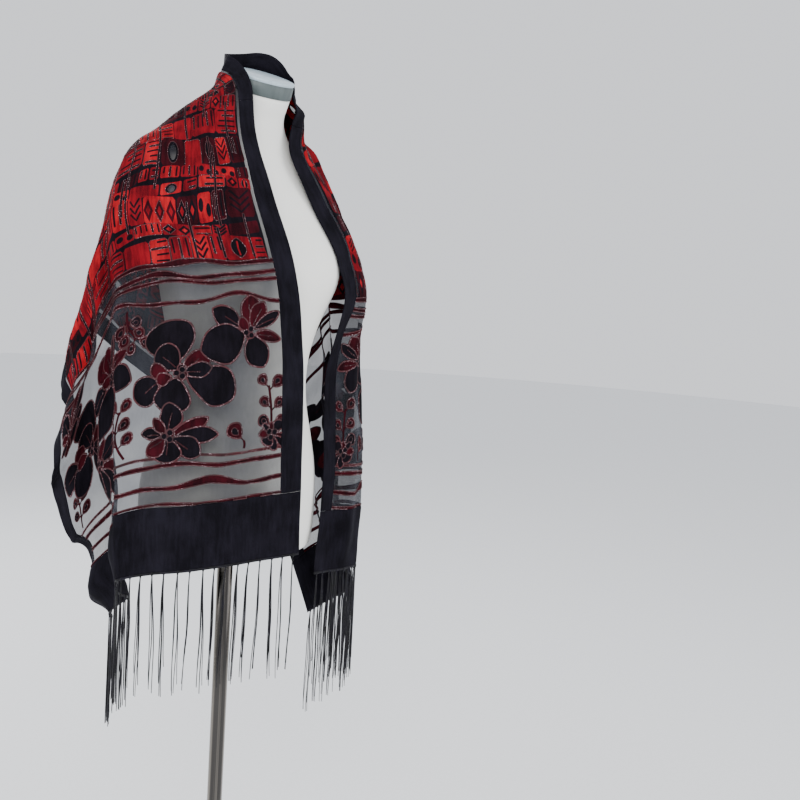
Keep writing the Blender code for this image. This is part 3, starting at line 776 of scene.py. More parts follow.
@dataclass
class Drape:
    """The hanging cloth: places on the flat cloth turned into places in space."""

    form: FormShape
    cell: float = 0.005
    clearance: float = 0.0033
    blend: float = 0.0014
    step: float = 0.012
    flute_start: float = 0.24
    flute_full: float = 0.58
    flute_growth: float = 1.5
    fold_fade: float = 0.2
    crease_bend: float = 0.06
    crease_fade: float = 0.8
    drift_height: float = 0.0006

    def __post_init__(self) -> None:
        """Work out the whole cloth once, on a fine grid."""
        self.along = self.lines(-LEFT_LENGTH, RIGHT_LENGTH)
        self.across = self.lines(0.0, SHAWL_WIDTH)
        shape = (len(self.along), len(self.across), 3)
        along = np.repeat(self.along, len(self.across))
        across = np.tile(self.across, len(self.along))
        lift = self.folds(along, across) + self.creases(along, across)
        raised = self.plain(along, across) + self.plain_outward(along, across) * lift[:, None]
        self.grid = self.clear(raised).reshape(shape)
        run_along = np.gradient(self.grid, self.along, axis=0)
        run_across = np.gradient(self.grid, self.across, axis=1)
        self.outward = unit(np.cross(run_across, run_along))

    def lines(self, start: float, end: float) -> Array:
        """Give the grid's lines from start to end."""
        return np.linspace(start, end, round((end - start) / self.cell) + 1)

    def clear(self, points: Array) -> Array:
        """Move points straight out until they clear the form."""
        heights = np.clip(points[:, 2], FORM_RINGS[0].height, FORM_RINGS[-1].height)
        ring = self.form.ring(heights)
        x = points[:, 0]
        y = points[:, 1] - ring["centre_y"]
        away = np.hypot(x, y)
        angle = np.arctan2(y, x)
        needed = self.form.radius(ring, angle) + self.clearance
        gap = away - needed
        radius = 0.5 * (away + needed + np.sqrt(gap * gap + self.blend**2))
        x = radius * np.cos(angle)
        y = ring["centre_y"] + radius * np.sin(angle)
        return columns(x, y, points[:, 2])

    @staticmethod
    def bowed(start: Array, end: Array, bow: Array) -> Array:
        """Give the middles of pairs of points, moved outward and level by a bow."""
        run = end - start
        outward = unit(columns(run[:, 1], -run[:, 0], np.zeros(len(run))))
        middle = 0.5 * (start + end)
        side = np.sign(outward[:, 0] * middle[:, 0] + outward[:, 1] * middle[:, 1])
        side[side == 0] = 1.0
        return middle + (bow * side)[:, None] * outward

    def plain(self, along: Array, across: Array) -> Array:
        """Give the cloth's points before folds."""
        table = np.array(SECTIONS)
        curve = Curve(table[:, 0], along)
        row = {name: curve.read(table[:, index + 1]) for index, name in enumerate(Section._fields[1:])}
        edge, ridge, outer = (
            columns(*[row[f"{guide}_{axis}"] for axis in "xyz"]) for guide in ("edge", "ridge", "outer")
        )
        front = self.bowed(edge, ridge, row["front_bow"])
        front[:, 2] += row["front_lift"]
        back = self.bowed(ridge, outer, row["back_bow"])
        guides = np.stack([edge, front, ridge, back, outer])
        middle = 0.5 * (RIDGE_ACROSS + SHAWL_WIDTH)
        places = np.array([0.0, 0.5 * RIDGE_ACROSS, RIDGE_ACROSS, middle, SHAWL_WIDTH])
        section = Curve(places, across)
        return self.clear(columns(*[section.read(guides[:, :, axis]) for axis in range(3)]))

    def plain_outward(self, along: Array, across: Array) -> Array:
        """Give the outward directions before folds."""
        before = np.maximum(along - self.step, -LEFT_LENGTH)
        after = np.minimum(along + self.step, RIGHT_LENGTH)
        inside = np.maximum(across - self.step, 0.0)
        outside = np.minimum(across + self.step, SHAWL_WIDTH)
        run_along = self.plain(after, across) - self.plain(before, across)
        run_across = self.plain(along, outside) - self.plain(along, inside)
        return unit(np.cross(run_across, run_along))

    def folds(self, along: Array, across: Array) -> Array:
        """Give how far the folds and flutes raise the cloth."""
        lift = np.zeros_like(along)
        for fold in FOLDS:
            run = (along - fold.from_along) / (fold.to_along - fold.from_along)
            crest = fold.from_across + run * (fold.to_across - fold.from_across)
            fade = np.clip(np.minimum(run, 1.0 - run) / self.fold_fade, 0.0, 1.0)
            fade = fade * fade * (3.0 - 2.0 * fade)
            lift += fold.height * fade * bell(across - crest, fold.half_width)
        growth = np.clip((across - self.flute_start) / (self.flute_full - self.flute_start), 0.0, 1.0)
        for flute in FLUTES:
            lift += flute.height * growth**self.flute_growth * bell(along - flute.along, flute.half_width)
        return lift

    def creases(self, along: Array, across: Array) -> Array:
        """Give how far the small creases and the cloth's own drift raise it."""
        drift_along = np.sin(along * 61.0 + 2.0 * np.sin(across * 23.0))
        drift_across = np.sin(across * 74.0 + 1.5 * np.sin(along * 19.0))
        lift = self.drift_height * (drift_along + drift_across)
        for crease in CREASES:
            run = np.array([crease.to_along - crease.from_along, crease.to_across - crease.from_across])
            length = float(np.hypot(*run))
            run /= length
            ahead = (along - crease.from_along) * run[0] + (across - crease.from_across) * run[1]
            beside = (across - crease.from_across) * run[0] - (along - crease.from_along) * run[1]
            part = np.clip(ahead / length, 0.0, 1.0)
            bend = self.crease_bend * length * np.sin(math.pi * part)
            fade = np.sin(math.pi * part) ** self.crease_fade
            lift += crease.height * fade * bell(beside - bend, crease.half_width)
        return lift

    def at(self, flat: Array, lift: float | Array = 0.0) -> Array:
        """Give the places in space of places on the flat cloth.

        Args:
            flat: Places (along, across).
            lift: How far each stands out from the cloth's middle.

        Returns:
            The places in space.
        """
        rows = (flat[:, 0] - self.along[0]) / (self.along[1] - self.along[0])
        cols = (flat[:, 1] - self.across[0]) / (self.across[1] - self.across[0])
        row = np.clip(np.floor(rows).astype(int), 0, len(self.along) - 2)
        col = np.clip(np.floor(cols).astype(int), 0, len(self.across) - 2)
        row_weights = self.taps(rows - row)
        col_weights = self.taps(cols - col)
        place = np.zeros((len(flat), 3))
        outward = np.zeros((len(flat), 3))
        for i in range(4):
            near_row = np.clip(row + i - 1, 0, len(self.along) - 1)
            for j in range(4):
                near_col = np.clip(col + j - 1, 0, len(self.across) - 1)
                weight = (row_weights[i] * col_weights[j])[:, None]
                place += weight * self.grid[near_row, near_col]
                outward += weight * self.outward[near_row, near_col]
        return place + np.broadcast_to(lift, len(flat))[:, None] * unit(outward)

    @staticmethod
    def taps(t: Array) -> list[Array]:
        """Give the four weights of a smooth blend between grid points."""
        t = np.clip(t, 0.0, 1.0)
        return [
            -0.5 * t + t**2 - 0.5 * t**3,
            1.0 - 2.5 * t**2 + 1.5 * t**3,
            0.5 * t + 2.0 * t**2 - 1.5 * t**3,
            -0.5 * t**2 + 0.5 * t**3,
        ]


def mesh_piece(
    name: str,
    points: Array,
    faces: Faces,
    materials: list[Material],
    tones: list[int] | None = None,
    cloth: Array | None = None,
) -> bpy.types.Object:
    """Make one piece from its points and faces.

    Args:
        name: The piece's name.
        points: Its points in space.
        faces: Its faces, as lists of point numbers.
        materials: Its materials.
        tones: Each face's material number.
        cloth: Each point's place on the flat cloth.

    Returns:
        The piece, riding on the body.
    """
    mesh = bpy.data.meshes.new(name)
    mesh.from_pydata(points.tolist(), [], faces)
    for material in materials:
        mesh.materials.append(material)
    if tones is not None:
        mesh.polygons.foreach_set("material_index", np.asarray(tones, dtype=np.int32))
    if cloth is not None:
        place = mesh.attributes.new("cloth", "FLOAT_VECTOR", "POINT")
        flat = np.zeros((len(points), 3), dtype=np.float32)
        flat[:, :2] = cloth
        place.data.foreach_set("vector", flat.ravel())
    mesh.polygons.foreach_set("use_smooth", np.ones(len(mesh.polygons), dtype=bool))
    mesh.update()
    piece = bpy.data.objects.new(name, mesh)
    bpy.context.scene.collection.objects.link(piece)
    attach(piece, BODY)
    LOG.info("%s: %d points, %d faces", name, len(points), len(faces))
    return piece


def loft_faces(rings: int, sides: int) -> Faces:
    """Give the faces of a closed loft through rings of equal point counts."""
    faces = []
    for ring in range(rings - 1):
        for side in range(sides):
            after = (side + 1) % sides
            low = ring * sides
            faces.append([low + side, low + after, low + sides + after, low + sides + side])
    faces.append(list(range(sides))[::-1])
    faces.append([(rings - 1) * sides + side for side in range(sides)])
    return faces


def turned_points(profile: list[Pair], sides: int) -> Array:
    """Give the points of a body turned on the Z axis from its (radius, height) steps."""
    turn = full_turn(sides)
    rings = [columns(r * np.cos(turn), r * np.sin(turn), np.full(sides, z)) for r, z in profile]
    return np.vstack(rings)


def edge_lines(start: float, end: float, cell: float) -> Array:
    """Give grid lines from start to end, closer together near both edges."""
    close = np.array(EDGE_STEPS)
    count = max(2, round((end - start - 2.0 * EDGE_DEPTH) / cell) + 1)
    inner = np.linspace(start + EDGE_DEPTH, end - EDGE_DEPTH, count)
    return np.concatenate([start + close, inner, (end - close)[::-1]])


@dataclass
class VelvetShell:
    """A doubled strip of velvet with soft rounded edges and a sewn line along its seam."""

    node: str
    from_along: float
    to_along: float
    from_across: float
    to_across: float
    seam_across: float | None = None
    half_thickness: float = 0.0013
    rounding: float = 0.0032
    cell: float = 0.007
    stitch_dip: float = 0.0005
    stitch_offset: float = 0.0050
    stitch_width: float = 0.0009
    rim_fullness: float = 0.22

    def build(self, drape: Drape, finish: Material, rests_on: list[str]) -> bpy.types.Object:
        """Build the strip in place of its solid.

        Args:
            drape: The hanging cloth.
            finish: The velvet.
            rests_on: What the cloth lies on; not used.

        Returns:
            The piece.
        """
        along = edge_lines(self.from_along, self.to_along, self.cell)
        across = edge_lines(self.from_across, self.to_across, self.cell)
        rows, cols = len(along), len(across)
        flat = columns(np.repeat(along, cols), np.tile(across, rows))
        half = self.half_thickness * self.swell(flat)
        count = rows * cols
        points = np.vstack([drape.at(flat, half), drape.at(flat, -half)])
        faces = []
        for row in range(rows - 1):
            for col in range(cols - 1):
                here = row * cols + col
                quad = [here, here + 1, here + cols + 1, here + cols]
                faces.append(quad)
                faces.append([index + count for index in quad[::-1]])
        rim = [row * cols for row in range(rows)]
        rim += [(rows - 1) * cols + col for col in range(1, cols)]
        rim += [row * cols + cols - 1 for row in range(rows - 2, -1, -1)]
        rim += list(range(cols - 2, 0, -1))
        for here, there in zip(rim, rim[1:] + rim[:1]):
            faces.append([here, there, there + count, here + count])
        piece = mesh_piece(f"{self.node}_velvet", points, faces, [finish], cloth=np.vstack([flat, flat]))
        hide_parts(self.node)
        return piece

    def swell(self, flat: Array) -> Array:
        """Give how full the strip is at each place, from its thin rim to its full middle."""
        to_rim = np.minimum.reduce([
            flat[:, 0] - self.from_along,
            self.to_along - flat[:, 0],
            flat[:, 1] - self.from_across,
            self.to_across - flat[:, 1],
        ])
        near = 1.0 - np.clip(to_rim / self.rounding, 0.0, 1.0)
        full = self.rim_fullness + (1.0 - self.rim_fullness) * np.sqrt(1.0 - near**2)
        if self.seam_across is not None:
            from_seam = np.abs(flat[:, 1] - self.seam_across) - self.stitch_offset
            dip = self.stitch_dip / self.half_thickness
            full -= dip * bell(from_seam, self.stitch_width)
        return full


@dataclass
class Patch:
    """One patch of the pattern: a closed outline on the flat cloth, its pile and its trim."""

    outline: Array
    tone: Tone
    trim: float = 0.0

    def holds(self, places: Array) -> Array:
        """Tell which places lie inside the outline."""
        low = self.outline.min(axis=0)
        high = self.outline.max(axis=0)
        near = np.all((places >= low) & (places <= high), axis=1)
        held = np.zeros(len(places), dtype=bool)
        if not near.any():
            return held
        x, y = places[near, 0], places[near, 1]
        inside = np.zeros(len(x), dtype=bool)
        for (x0, y0), (x1, y1) in zip(self.outline, np.roll(self.outline, -1, axis=0)):
            if y0 != y1:
                crossed = (y0 > y) != (y1 > y)
                inside ^= crossed & (x < (x1 - x0) * (y - y0) / (y1 - y0) + x0)
        held[near] = inside
        return held


def resampled(outline: Array, spacing: float) -> Array:
    """Give a closed outline's points, no further apart than the spacing."""
    dense = []
    for here, there in zip(outline, np.roll(outline, -1, axis=0)):
        count = max(1, math.ceil(float(np.linalg.norm(there - here)) / spacing))
        steps = np.arange(count)[:, None] / count
        dense.append(here + steps * (there - here))
    return np.vstack(dense)


def petal_outline(length: float, width: float, tip: float, dice: random.Random) -> Array:
    """Draw one petal from its base at the origin, along +X.

    Args:
        length: Base to tip.
        width: The widest place.
        tip: 0 for a round tip, 1 for a pointed one.
        dice: The source of its small unevenness.

    Returns:
        The outline's points.
    """
    count = max(14, round((length + width) * 1.3 / PETAL_SPACING))
    turn = full_turn(count)
    x = 0.5 * length * (1.0 - np.cos(turn))
    from_base = np.abs(np.sin(0.5 * turn)) ** 0.7
    to_tip = (1e-6 + np.abs(np.cos(0.5 * turn))) ** (0.9 * tip)
    side = np.sin(turn) * from_base * to_tip
    side *= 0.5 * width / np.abs(side).max()
    phase = dice.uniform(0.0, 6.28)
    wave = 1.0 + 0.045 * np.sin(3.0 * turn + phase) + 0.03 * np.sin(5.0 * turn + 2.0 * phase)
    skew = dice.uniform(-0.10, 0.10) * width * np.sin(math.pi * x / length)
    return columns(x, side * wave + skew)


def disc_outline(radius_x: float, radius_y: float, count: int) -> Array:
    """Draw an ellipse round the origin."""
    turn = full_turn(count)
    return columns(radius_x * np.cos(turn), radius_y * np.sin(turn))


def line_outline(course: Array, width: float) -> Array:
    """Draw a line of even width along a course of points."""
    run = unit(np.gradient(course, axis=0))
    side = 0.5 * width * columns(-run[:, 1], run[:, 0])
    return np.vstack([course + side, (course - side)[::-1]])


@dataclass(frozen=True)
class ClothEnd:
    """One end of the cloth, on which places are (across, from the hem)."""

    sign: int
    length: float

    def flat(self, places: Array) -> Array:
        """Turn (across, from the hem) into (along, across)."""
        return columns(self.sign * (self.length - places[:, 1]), places[:, 0])


class Petal(NamedTuple):
    """One petal of a flower: its direction in degrees, where it starts, its size and its pile."""

    turn: float
    reach: float
    length: float
    width: float
    tip: float
    tone: Tone


class Flower(Enum):
    """The kinds of flower, each a row of petals from back to front."""

    BROAD = (
        Petal(78, 0.018, 0.066, 0.084, 0.1, Tone.BLACK),
        Petal(338, 0.036, 0.052, 0.048, 0.3, Tone.BLACK),
        Petal(294, 0.008, 0.056, 0.056, 0.1, Tone.BLACK),
        Petal(207, 0.010, 0.086, 0.060, 0.2, Tone.BLACK),
        Petal(148, 0.004, 0.054, 0.034, 0.5, Tone.MAROON),
        Petal(174, 0.004, 0.046, 0.024, 0.5, Tone.BLACK),
        Petal(52, 0.006, 0.046, 0.044, 0.0, Tone.BLACK),
        Petal(8, 0.020, 0.030, 0.024, 0.1, Tone.MAROON),
        Petal(340, 0.014, 0.026, 0.020, 0.1, Tone.MAROON),
        Petal(250, -0.006, 0.018, 0.016, 0.0, Tone.MAROON),
        Petal(110, -0.002, 0.016, 0.014, 0.0, Tone.BLACK),
    )
    POINTED = (
        Petal(36, 0.018, 0.052, 0.032, 0.7, Tone.BLACK),
        Petal(96, 0.008, 0.050, 0.036, 0.4, Tone.MAROON),
        Petal(122, 0.008, 0.046, 0.026, 0.5, Tone.MAROON),
        Petal(344, 0.008, 0.074, 0.062, 0.6, Tone.BLACK),
        Petal(248, 0.004, 0.056, 0.040, 0.6, Tone.BLACK),
        Petal(150, 0.010, 0.050, 0.018, 0.4, Tone.BLACK),
        Petal(196, 0.010, 0.044, 0.018, 0.6, Tone.MAROON),
        Petal(60, 0.002, 0.026, 0.016, 0.4, Tone.MAROON),
        Petal(290, -0.004, 0.014, 0.012, 0.0, Tone.BLACK),
    )
    STAR = (
        Petal(92, 0.006, 0.044, 0.034, 0.5, Tone.BLACK),
        Petal(158, 0.006, 0.058, 0.022, 0.6, Tone.MAROON),
        Petal(182, 0.012, 0.064, 0.024, 0.6, Tone.BLACK),
        Petal(214, 0.006, 0.050, 0.030, 0.3, Tone.BLACK),
        Petal(270, 0.004, 0.036, 0.044, 0.1, Tone.BLACK),
        Petal(322, 0.006, 0.038, 0.026, 0.4, Tone.MAROON),
        Petal(8, 0.010, 0.036, 0.018, 0.6, Tone.BLACK),
        Petal(48, 0.006, 0.030, 0.016, 0.5, Tone.MAROON),
        Petal(120, -0.005, 0.016, 0.014, 0.0, Tone.MAROON),
    )


class Bloom(NamedTuple):
    """One flower on the cloth: its kind, place, size and turn in degrees."""

    kind: Flower
    across: float
    from_hem: float
    size: float
    turn: float


BLOOMS = (
    Bloom(Flower.BROAD, 0.208, 0.314, 1.00, 0.0),
    Bloom(Flower.POINTED, 0.094, 0.370, 1.04, 0.0),
    Bloom(Flower.STAR, 0.226, 0.217, 1.04, 0.0),
    Bloom(Flower.STAR, 0.056, 0.206, 0.52, 40.0),
    Bloom(Flower.POINTED, 0.352, 0.338, 1.05, -42.0),
    Bloom(Flower.BROAD, 0.468, 0.290, 1.00, 24.0),
    Bloom(Flower.STAR, 0.395, 0.222, 1.10, 62.0),
    Bloom(Flower.STAR, 0.520, 0.392, 0.85, -30.0),
)


class Bud(NamedTuple):
    """One bud of a spray: where along the stem it leaves, its direction and its size."""

    part: float
    turn: float
    stem: float
    length: float
    tone: Tone


class Spray(NamedTuple):
    """One stem with buds: its foot, direction, length, bend and size."""

    across: float
    from_hem: float
    turn: float
    length: float
    bend: float


SPRAYS = (
    Spray(0.058, 0.190, 88.0, 0.092, 0.003),
    Spray(0.104, 0.188, 88.0, 0.012, 0.001),
    Spray(0.306, 0.190, 84.0, 0.078, -0.010),
    Spray(0.536, 0.190, 100.0, 0.080, 0.010),
    Spray(0.300, 0.420, 250.0, 0.050, 0.006),
)
BUDS = (
    Bud(0.28, 58.0, 0.008, 0.023, Tone.MAROON),
    Bud(0.30, -54.0, 0.006, 0.022, Tone.BLACK),
    Bud(0.58, 52.0, 0.008, 0.021, Tone.MAROON),
    Bud(0.62, -48.0, 0.007, 0.020, Tone.MAROON),
    Bud(0.90, 46.0, 0.008, 0.021, Tone.MAROON),
    Bud(0.94, -40.0, 0.008, 0.021, Tone.MAROON),
)


class Stripe(NamedTuple):
    """One wavy stripe across the cloth; the lens is a place where it swells."""

    from_hem: float
    half_width: float
    wave: float
    phase: float
    lens_across: float
    lens: float


STRIPES = (
    Stripe(0.1075, 0.0020, 0.0014, 0.6, 0.00, 0.0),
    Stripe(0.137, 0.0030, 0.0048, 2.6, 0.16, 0.0042),
    Stripe(0.1690, 0.0030, 0.0030, 1.2, 0.42, 0.0030),
    Stripe(0.1830, 0.0014, 0.0020, 1.6, 0.00, 0.0),
    Stripe(0.4270, 0.0027, 0.0060, 4.1, 0.00, 0.0),
    Stripe(0.4560, 0.0026, 0.0026, 1.1, 0.00, 0.0),
    Stripe(0.4660, 0.0030, 0.0030, 0.4, 0.24, 0.0016),
    Stripe(0.4860, 0.0032, 0.0034, 2.2, 0.20, 0.0016),
)
RED_FROM_HEM = 0.486
RAILS = (0.070, 0.116, 0.124, 0.172, 0.232, 0.290, 0.299, 0.356, 0.412, 0.421, 0.470, 0.520)


class Motif(Enum):
    """What a block of the red field holds."""

    PLAIN = "plain"
    LOZENGE = "lozenge"
    DISCS = "discs"
    LEAF = "leaf"
    BARS = "bars"
    WINDOW = "window"
    CHEVRON = "chevron"
    RUNGS = "rungs"


@dataclass
class FlowerEnd:
    """The sheer end of the cloth: wavy stripes with flowers and sprays between them."""

    end: ClothEnd
    seed: int
    outline_trim: float = 0.0032
    stripe_trim: float = 0.0022
    vein_width: float = 0.0012
    vein_trim: float = 0.0005
    stem_width: float = 0.0036
    veined_lengths: Pair = (0.036, 0.056)
    lens_width: float = 0.022
    stripe_steps: int = 190
    spots: int = 3
    spot_radius: float = 0.0048
    spot_reach: float = 0.006
    spot_trim: float = 0.0019
    bud_trim: float = 0.0028
    heart_trim: float = 0.0014

    def patches(self) -> list[Patch]:
        """Give the end's patches, back to front."""
        dice = random.Random(self.seed)
        made = [self.stripe(row) for row in STRIPES]
        for spray in SPRAYS:
            made += self.spray(spray, dice)
        for bloom in BLOOMS:
            made += self.bloom(bloom, dice)
        return made

    def stripe(self, row: Stripe) -> Patch:
        """Draw one stripe right across the cloth."""
        across = np.linspace(0.5 * BORDER_WIDTH, SHAWL_WIDTH - 0.5 * BORDER_WIDTH, self.stripe_steps)
        long_wave = np.sin(across * 31.0 + row.phase)
        short_wave = np.sin(across * 57.0 + 2.0 * row.phase)
        wave = row.wave * (long_wave + 0.5 * short_wave)
        half = row.half_width + row.lens * bell(across - row.lens_across, self.lens_width)
        half = half * (1.0 + 0.12 * np.sin(across * 90.0 + row.phase))
        upper = columns(across, row.from_hem + wave + half)
        lower = columns(across, row.from_hem + wave - half)
        return self.patch(np.vstack([upper, lower[::-1]]), Tone.MAROON, self.stripe_trim)

    def patch(self, outline: Array, tone: Tone, trim: float = 0.0) -> Patch:
        """Give the patch of an outline that is in (across, from the hem)."""
        return Patch(self.end.flat(outline), tone, trim)

    @staticmethod
    def reached(start: Pair, degrees: float, reach: float) -> Pair:
        """Give the place at a reach from a start, in a direction."""
        angle = math.radians(degrees)
        return start[0] + reach * math.cos(angle), start[1] + reach * math.sin(angle)

    @staticmethod
    def turned(outline: Array, degrees: float, across: float, from_hem: float) -> Array:
        """Turn an outline and move it to its place."""
        angle = math.radians(degrees)
        x = outline[:, 0] * math.cos(angle) - outline[:, 1] * math.sin(angle)
        y = outline[:, 0] * math.sin(angle) + outline[:, 1] * math.cos(angle)
        return columns(x + across, y + from_hem)

    def bloom(self, bloom: Bloom, dice: random.Random) -> list[Patch]:
        """Draw one flower, petal by petal, from back to front."""
        made = []
        middle = (bloom.across, bloom.from_hem)
        for petal in bloom.kind.value:
            degrees = petal.turn + bloom.turn
            length = petal.length * bloom.size
            outline = petal_outline(length, petal.width * bloom.size, petal.tip, dice)
            base = self.reached(middle, degrees, petal.reach * bloom.size)
            made.append(self.patch(self.turned(outline, degrees, *base), petal.tone, self.outline_trim))
            if self.veined_lengths[0] < length < self.veined_lengths[1]:
                pile = Tone.BLACK if petal.tone is Tone.MAROON else Tone.MAROON
                part = np.linspace(0.12 * length, length * dice.uniform(0.55, 0.78), 9)
                course = columns(part, dice.uniform(-0.3, 0.3) * part * part / length)
                vein = line_outline(self.turned(course, degrees, *base), self.vein_width)
                made.append(self.patch(vein, pile, self.vein_trim))
        for spot in range(self.spots):
            base = self.reached(middle, bloom.turn + 360.0 / self.spots * spot, self.spot_reach)
            outline = disc_outline(self.spot_radius, self.spot_radius, 14)
            made.append(self.patch(self.turned(outline, 0.0, *base), Tone.BLACK, self.spot_trim))
        return made

    def spray(self, spray: Spray, dice: random.Random) -> list[Patch]:
        """Draw one stem and its buds."""
        part = np.linspace(0.0, 1.0, 24)
        course = columns(part * spray.length, spray.bend * np.sin(math.pi * part))
        stem = self.turned(course, spray.turn, spray.across, spray.from_hem)
        made = [self.patch(line_outline(stem, self.stem_width), Tone.MAROON)]
        buds = BUDS if spray.length > 0.03 else BUDS[-1:]
        for bud in buds:
            foot = stem[round(bud.part * (len(stem) - 1))]
            size = bud.length * (1.0 if len(buds) > 1 else 1.35) * dice.uniform(0.92, 1.08)
            turn = spray.turn + bud.turn
            stalk = columns(np.linspace(0.0, bud.stem + 0.003, 6), np.zeros(6))
            outline = line_outline(self.turned(stalk, turn, *foot), 0.6 * self.stem_width)
            made.append(self.patch(outline, Tone.MAROON))
            base = self.reached(foot, turn, bud.stem)
            outline = petal_outline(size, 0.84 * size, 0.2, dice)
            made.append(self.patch(self.turned(outline, turn, *base), bud.tone, self.bud_trim))
            heart = petal_outline(0.5 * size, 0.36 * size, 0.2, dice) + np.array([0.24 * size, 0.0])
            made.append(self.patch(self.turned(heart, turn, *base), Tone.BLACK, self.heart_trim))
        return made


def corner_cut(low: float, high: float, near: float, far: float, cut: float) -> Array:
    """Draw a box with its corners cut."""
    return np.array([
        (low + cut, near), (high - cut, near), (high, near + cut), (high, far - cut),
        (high - cut, far), (low + cut, far), (low, far - cut), (low, near + cut),
    ])


@dataclass
class Block:
    """One block of the red field; its outlines are in metres from its near low corner."""

    field: "RedField"
    low: float
    high: float
    near: float
    far: float
    phase: float
    tone: Tone
    made: list[Patch]
    dice: random.Random
    spacing: float = 0.005
    fine_spacing: float = 0.004
    lozenge_pitch: float = 0.022
    disc_pitch: float = 0.015
    bar_pitch: float = 0.012
    rung_pitch: float = 0.011
    bar_half_width: float = 0.0017
    rung_half_width: float = 0.0016
    bar_corner: float = 0.001
    vein_width: float = 0.0028
    chevron_width: float = 0.0034

    def __post_init__(self) -> None:
        """Work out the block's size and the piles of what it holds."""
        self.height = self.high - self.low
        self.width = self.far - self.near
        self.trim = self.field.line_trim
        softer = self.tone is Tone.BRIGHT and self.dice.random() < self.field.soft_share
        self.contrast = Tone.MAROON if softer else Tone.BLACK
        self.accent = Tone.RED if self.tone is Tone.BRIGHT else Tone.BRIGHT

    def lay(self, outline: Array, pile: Tone, trim: float = 0.0) -> None:
        """Lay one outline, bent with the course that the block stands in."""
        along = self.low + outline[:, 0]
        across = self.near + outline[:, 1]
        from_start = np.clip((along - self.field.start) / self.field.wave_fade, 0.0, 1.0)
        to_end = np.clip((self.field.end - along) / self.field.wave_fade, 0.0, 1.0)
        wave = self.field.wave_height * np.sin(across * 26.0 + self.phase) * (from_start * to_end)
        slant = self.field.slant * np.sin(along * 33.0 + self.near * 9.0)
        self.made.append(Patch(columns(along + wave, across + slant), pile, trim))

    def fill(self, motif: Motif) -> None:
        """Lay the block and what it holds."""
        gap = self.field.gap
        corner = 0.10 * min(self.height, self.width)
        box = corner_cut(gap, self.height - gap, gap, self.width - gap, corner)
        trimmed = self.dice.random() < self.field.trimmed_share
        self.lay(resampled(box, 0.006), self.tone, self.trim if trimmed else 0.0)
        drawings = {
            Motif.LOZENGE: self.lozenges,
            Motif.DISCS: self.discs,
            Motif.LEAF: self.leaf,
            Motif.BARS: self.bars,
            Motif.RUNGS: self.rungs,
            Motif.WINDOW: self.window,
            Motif.CHEVRON: self.chevrons,
        }
        if motif in drawings:
            drawings[motif]()

    def lozenges(self) -> None:
        """Lay a row of lozenges with bright hearts."""
        count = max(1, round(self.width / self.lozenge_pitch))
        for index in range(count):
            reach = 0.42 * self.width / count
            centre = np.array([0.5 * self.height, (index + 0.5) * self.width / count])
            tall = 0.38 * self.height
            tips = np.array([(tall, 0.0), (0.0, reach), (-tall, 0.0), (0.0, -reach)])
            outline = resampled(tips + centre, self.spacing)
            self.lay(outline, self.contrast, self.trim if index % 2 else 0.0)
            self.lay(resampled(0.45 * tips + centre, self.fine_spacing), self.accent)

    def discs(self) -> None:
        """Lay a row of discs, by turns high and low."""
        count = max(2, round(self.width / self.disc_pitch))
        for index in range(count):
            middle = 0.5 * self.height + 0.10 * self.height * (-1) ** index
            centre = np.array([middle, (index + 0.5) * self.width / count])
            disc = disc_outline(0.22 * self.height, 0.34 * self.width / count, 14)
            self.lay(disc + centre, self.contrast)

    def leaf(self) -> None:
        """Lay one leaf with its vein."""
        height, width = self.height, self.width
        leaf = petal_outline(0.78 * height, 0.50 * width, 1.0, self.dice)
        self.lay(leaf + np.array([0.11 * height, 0.5 * width]), self.contrast, self.trim)
        vein = [(0.22 * height, 0.5 * width), (0.50 * height, 0.52 * width), (0.78 * height, 0.5 * width)]
        self.lay(line_outline(np.array(vein), self.vein_width), self.accent)

    def bars(self) -> None:
        """Lay a row of upright bars of uneven height."""
        count = max(2, round(self.width / self.bar_pitch))
        for index in range(count):
            centre = (index + 0.6) * self.width / (count + 0.2)
            top = self.dice.uniform(0.62, 0.90) * self.height
            near, far = centre - self.bar_half_width, centre + self.bar_half_width
            bar = corner_cut(0.10 * self.height, top, near, far, self.bar_corner)
            self.lay(resampled(bar, self.spacing), Tone.BLACK, self.trim if index % 3 == 1 else 0.0)

    def rungs(self) -> None:
        """Lay a ladder of level rungs of uneven width."""
        count = max(2, round(self.height / self.rung_pitch))
        for index in range(count):
            centre = (index + 0.6) * self.height / (count + 0.2)
            stop = self.dice.uniform(0.55, 0.92) * self.width
            low, high = centre - self.rung_half_width, centre + self.rung_half_width
            rung = corner_cut(low, high, 0.08 * self.width, stop, self.bar_corner)
            self.lay(resampled(rung, self.spacing), self.contrast, self.trim if index % 3 == 1 else 0.0)

    def window(self) -> None:
        """Lay one oval with a sheer middle."""
        middle = np.array([0.5 * self.height, 0.5 * self.width])
        rim = disc_outline(0.36 * self.height, min(0.011, 0.30 * self.width), 20)
        self.lay(rim + middle, Tone.BLACK, self.trim)
        pane = disc_outline(0.27 * self.height, min(0.007, 0.18 * self.width), 18)
        self.lay(pane + middle, Tone.SHEER)

    def chevrons(self) -> None:
        """Lay three bent lines, one above another."""
        back = max(1, round(0.72 * self.width / self.fine_spacing))
        for shift in (0.10, 0.32, 0.54):
            bend = np.array([(shift, 0.14), (shift + 0.28, 0.5), (shift, 0.86)])
            course = resampled(bend * np.array([self.height, self.width]), self.fine_spacing)
            self.lay(line_outline(course[:-back], self.chevron_width), self.contrast)


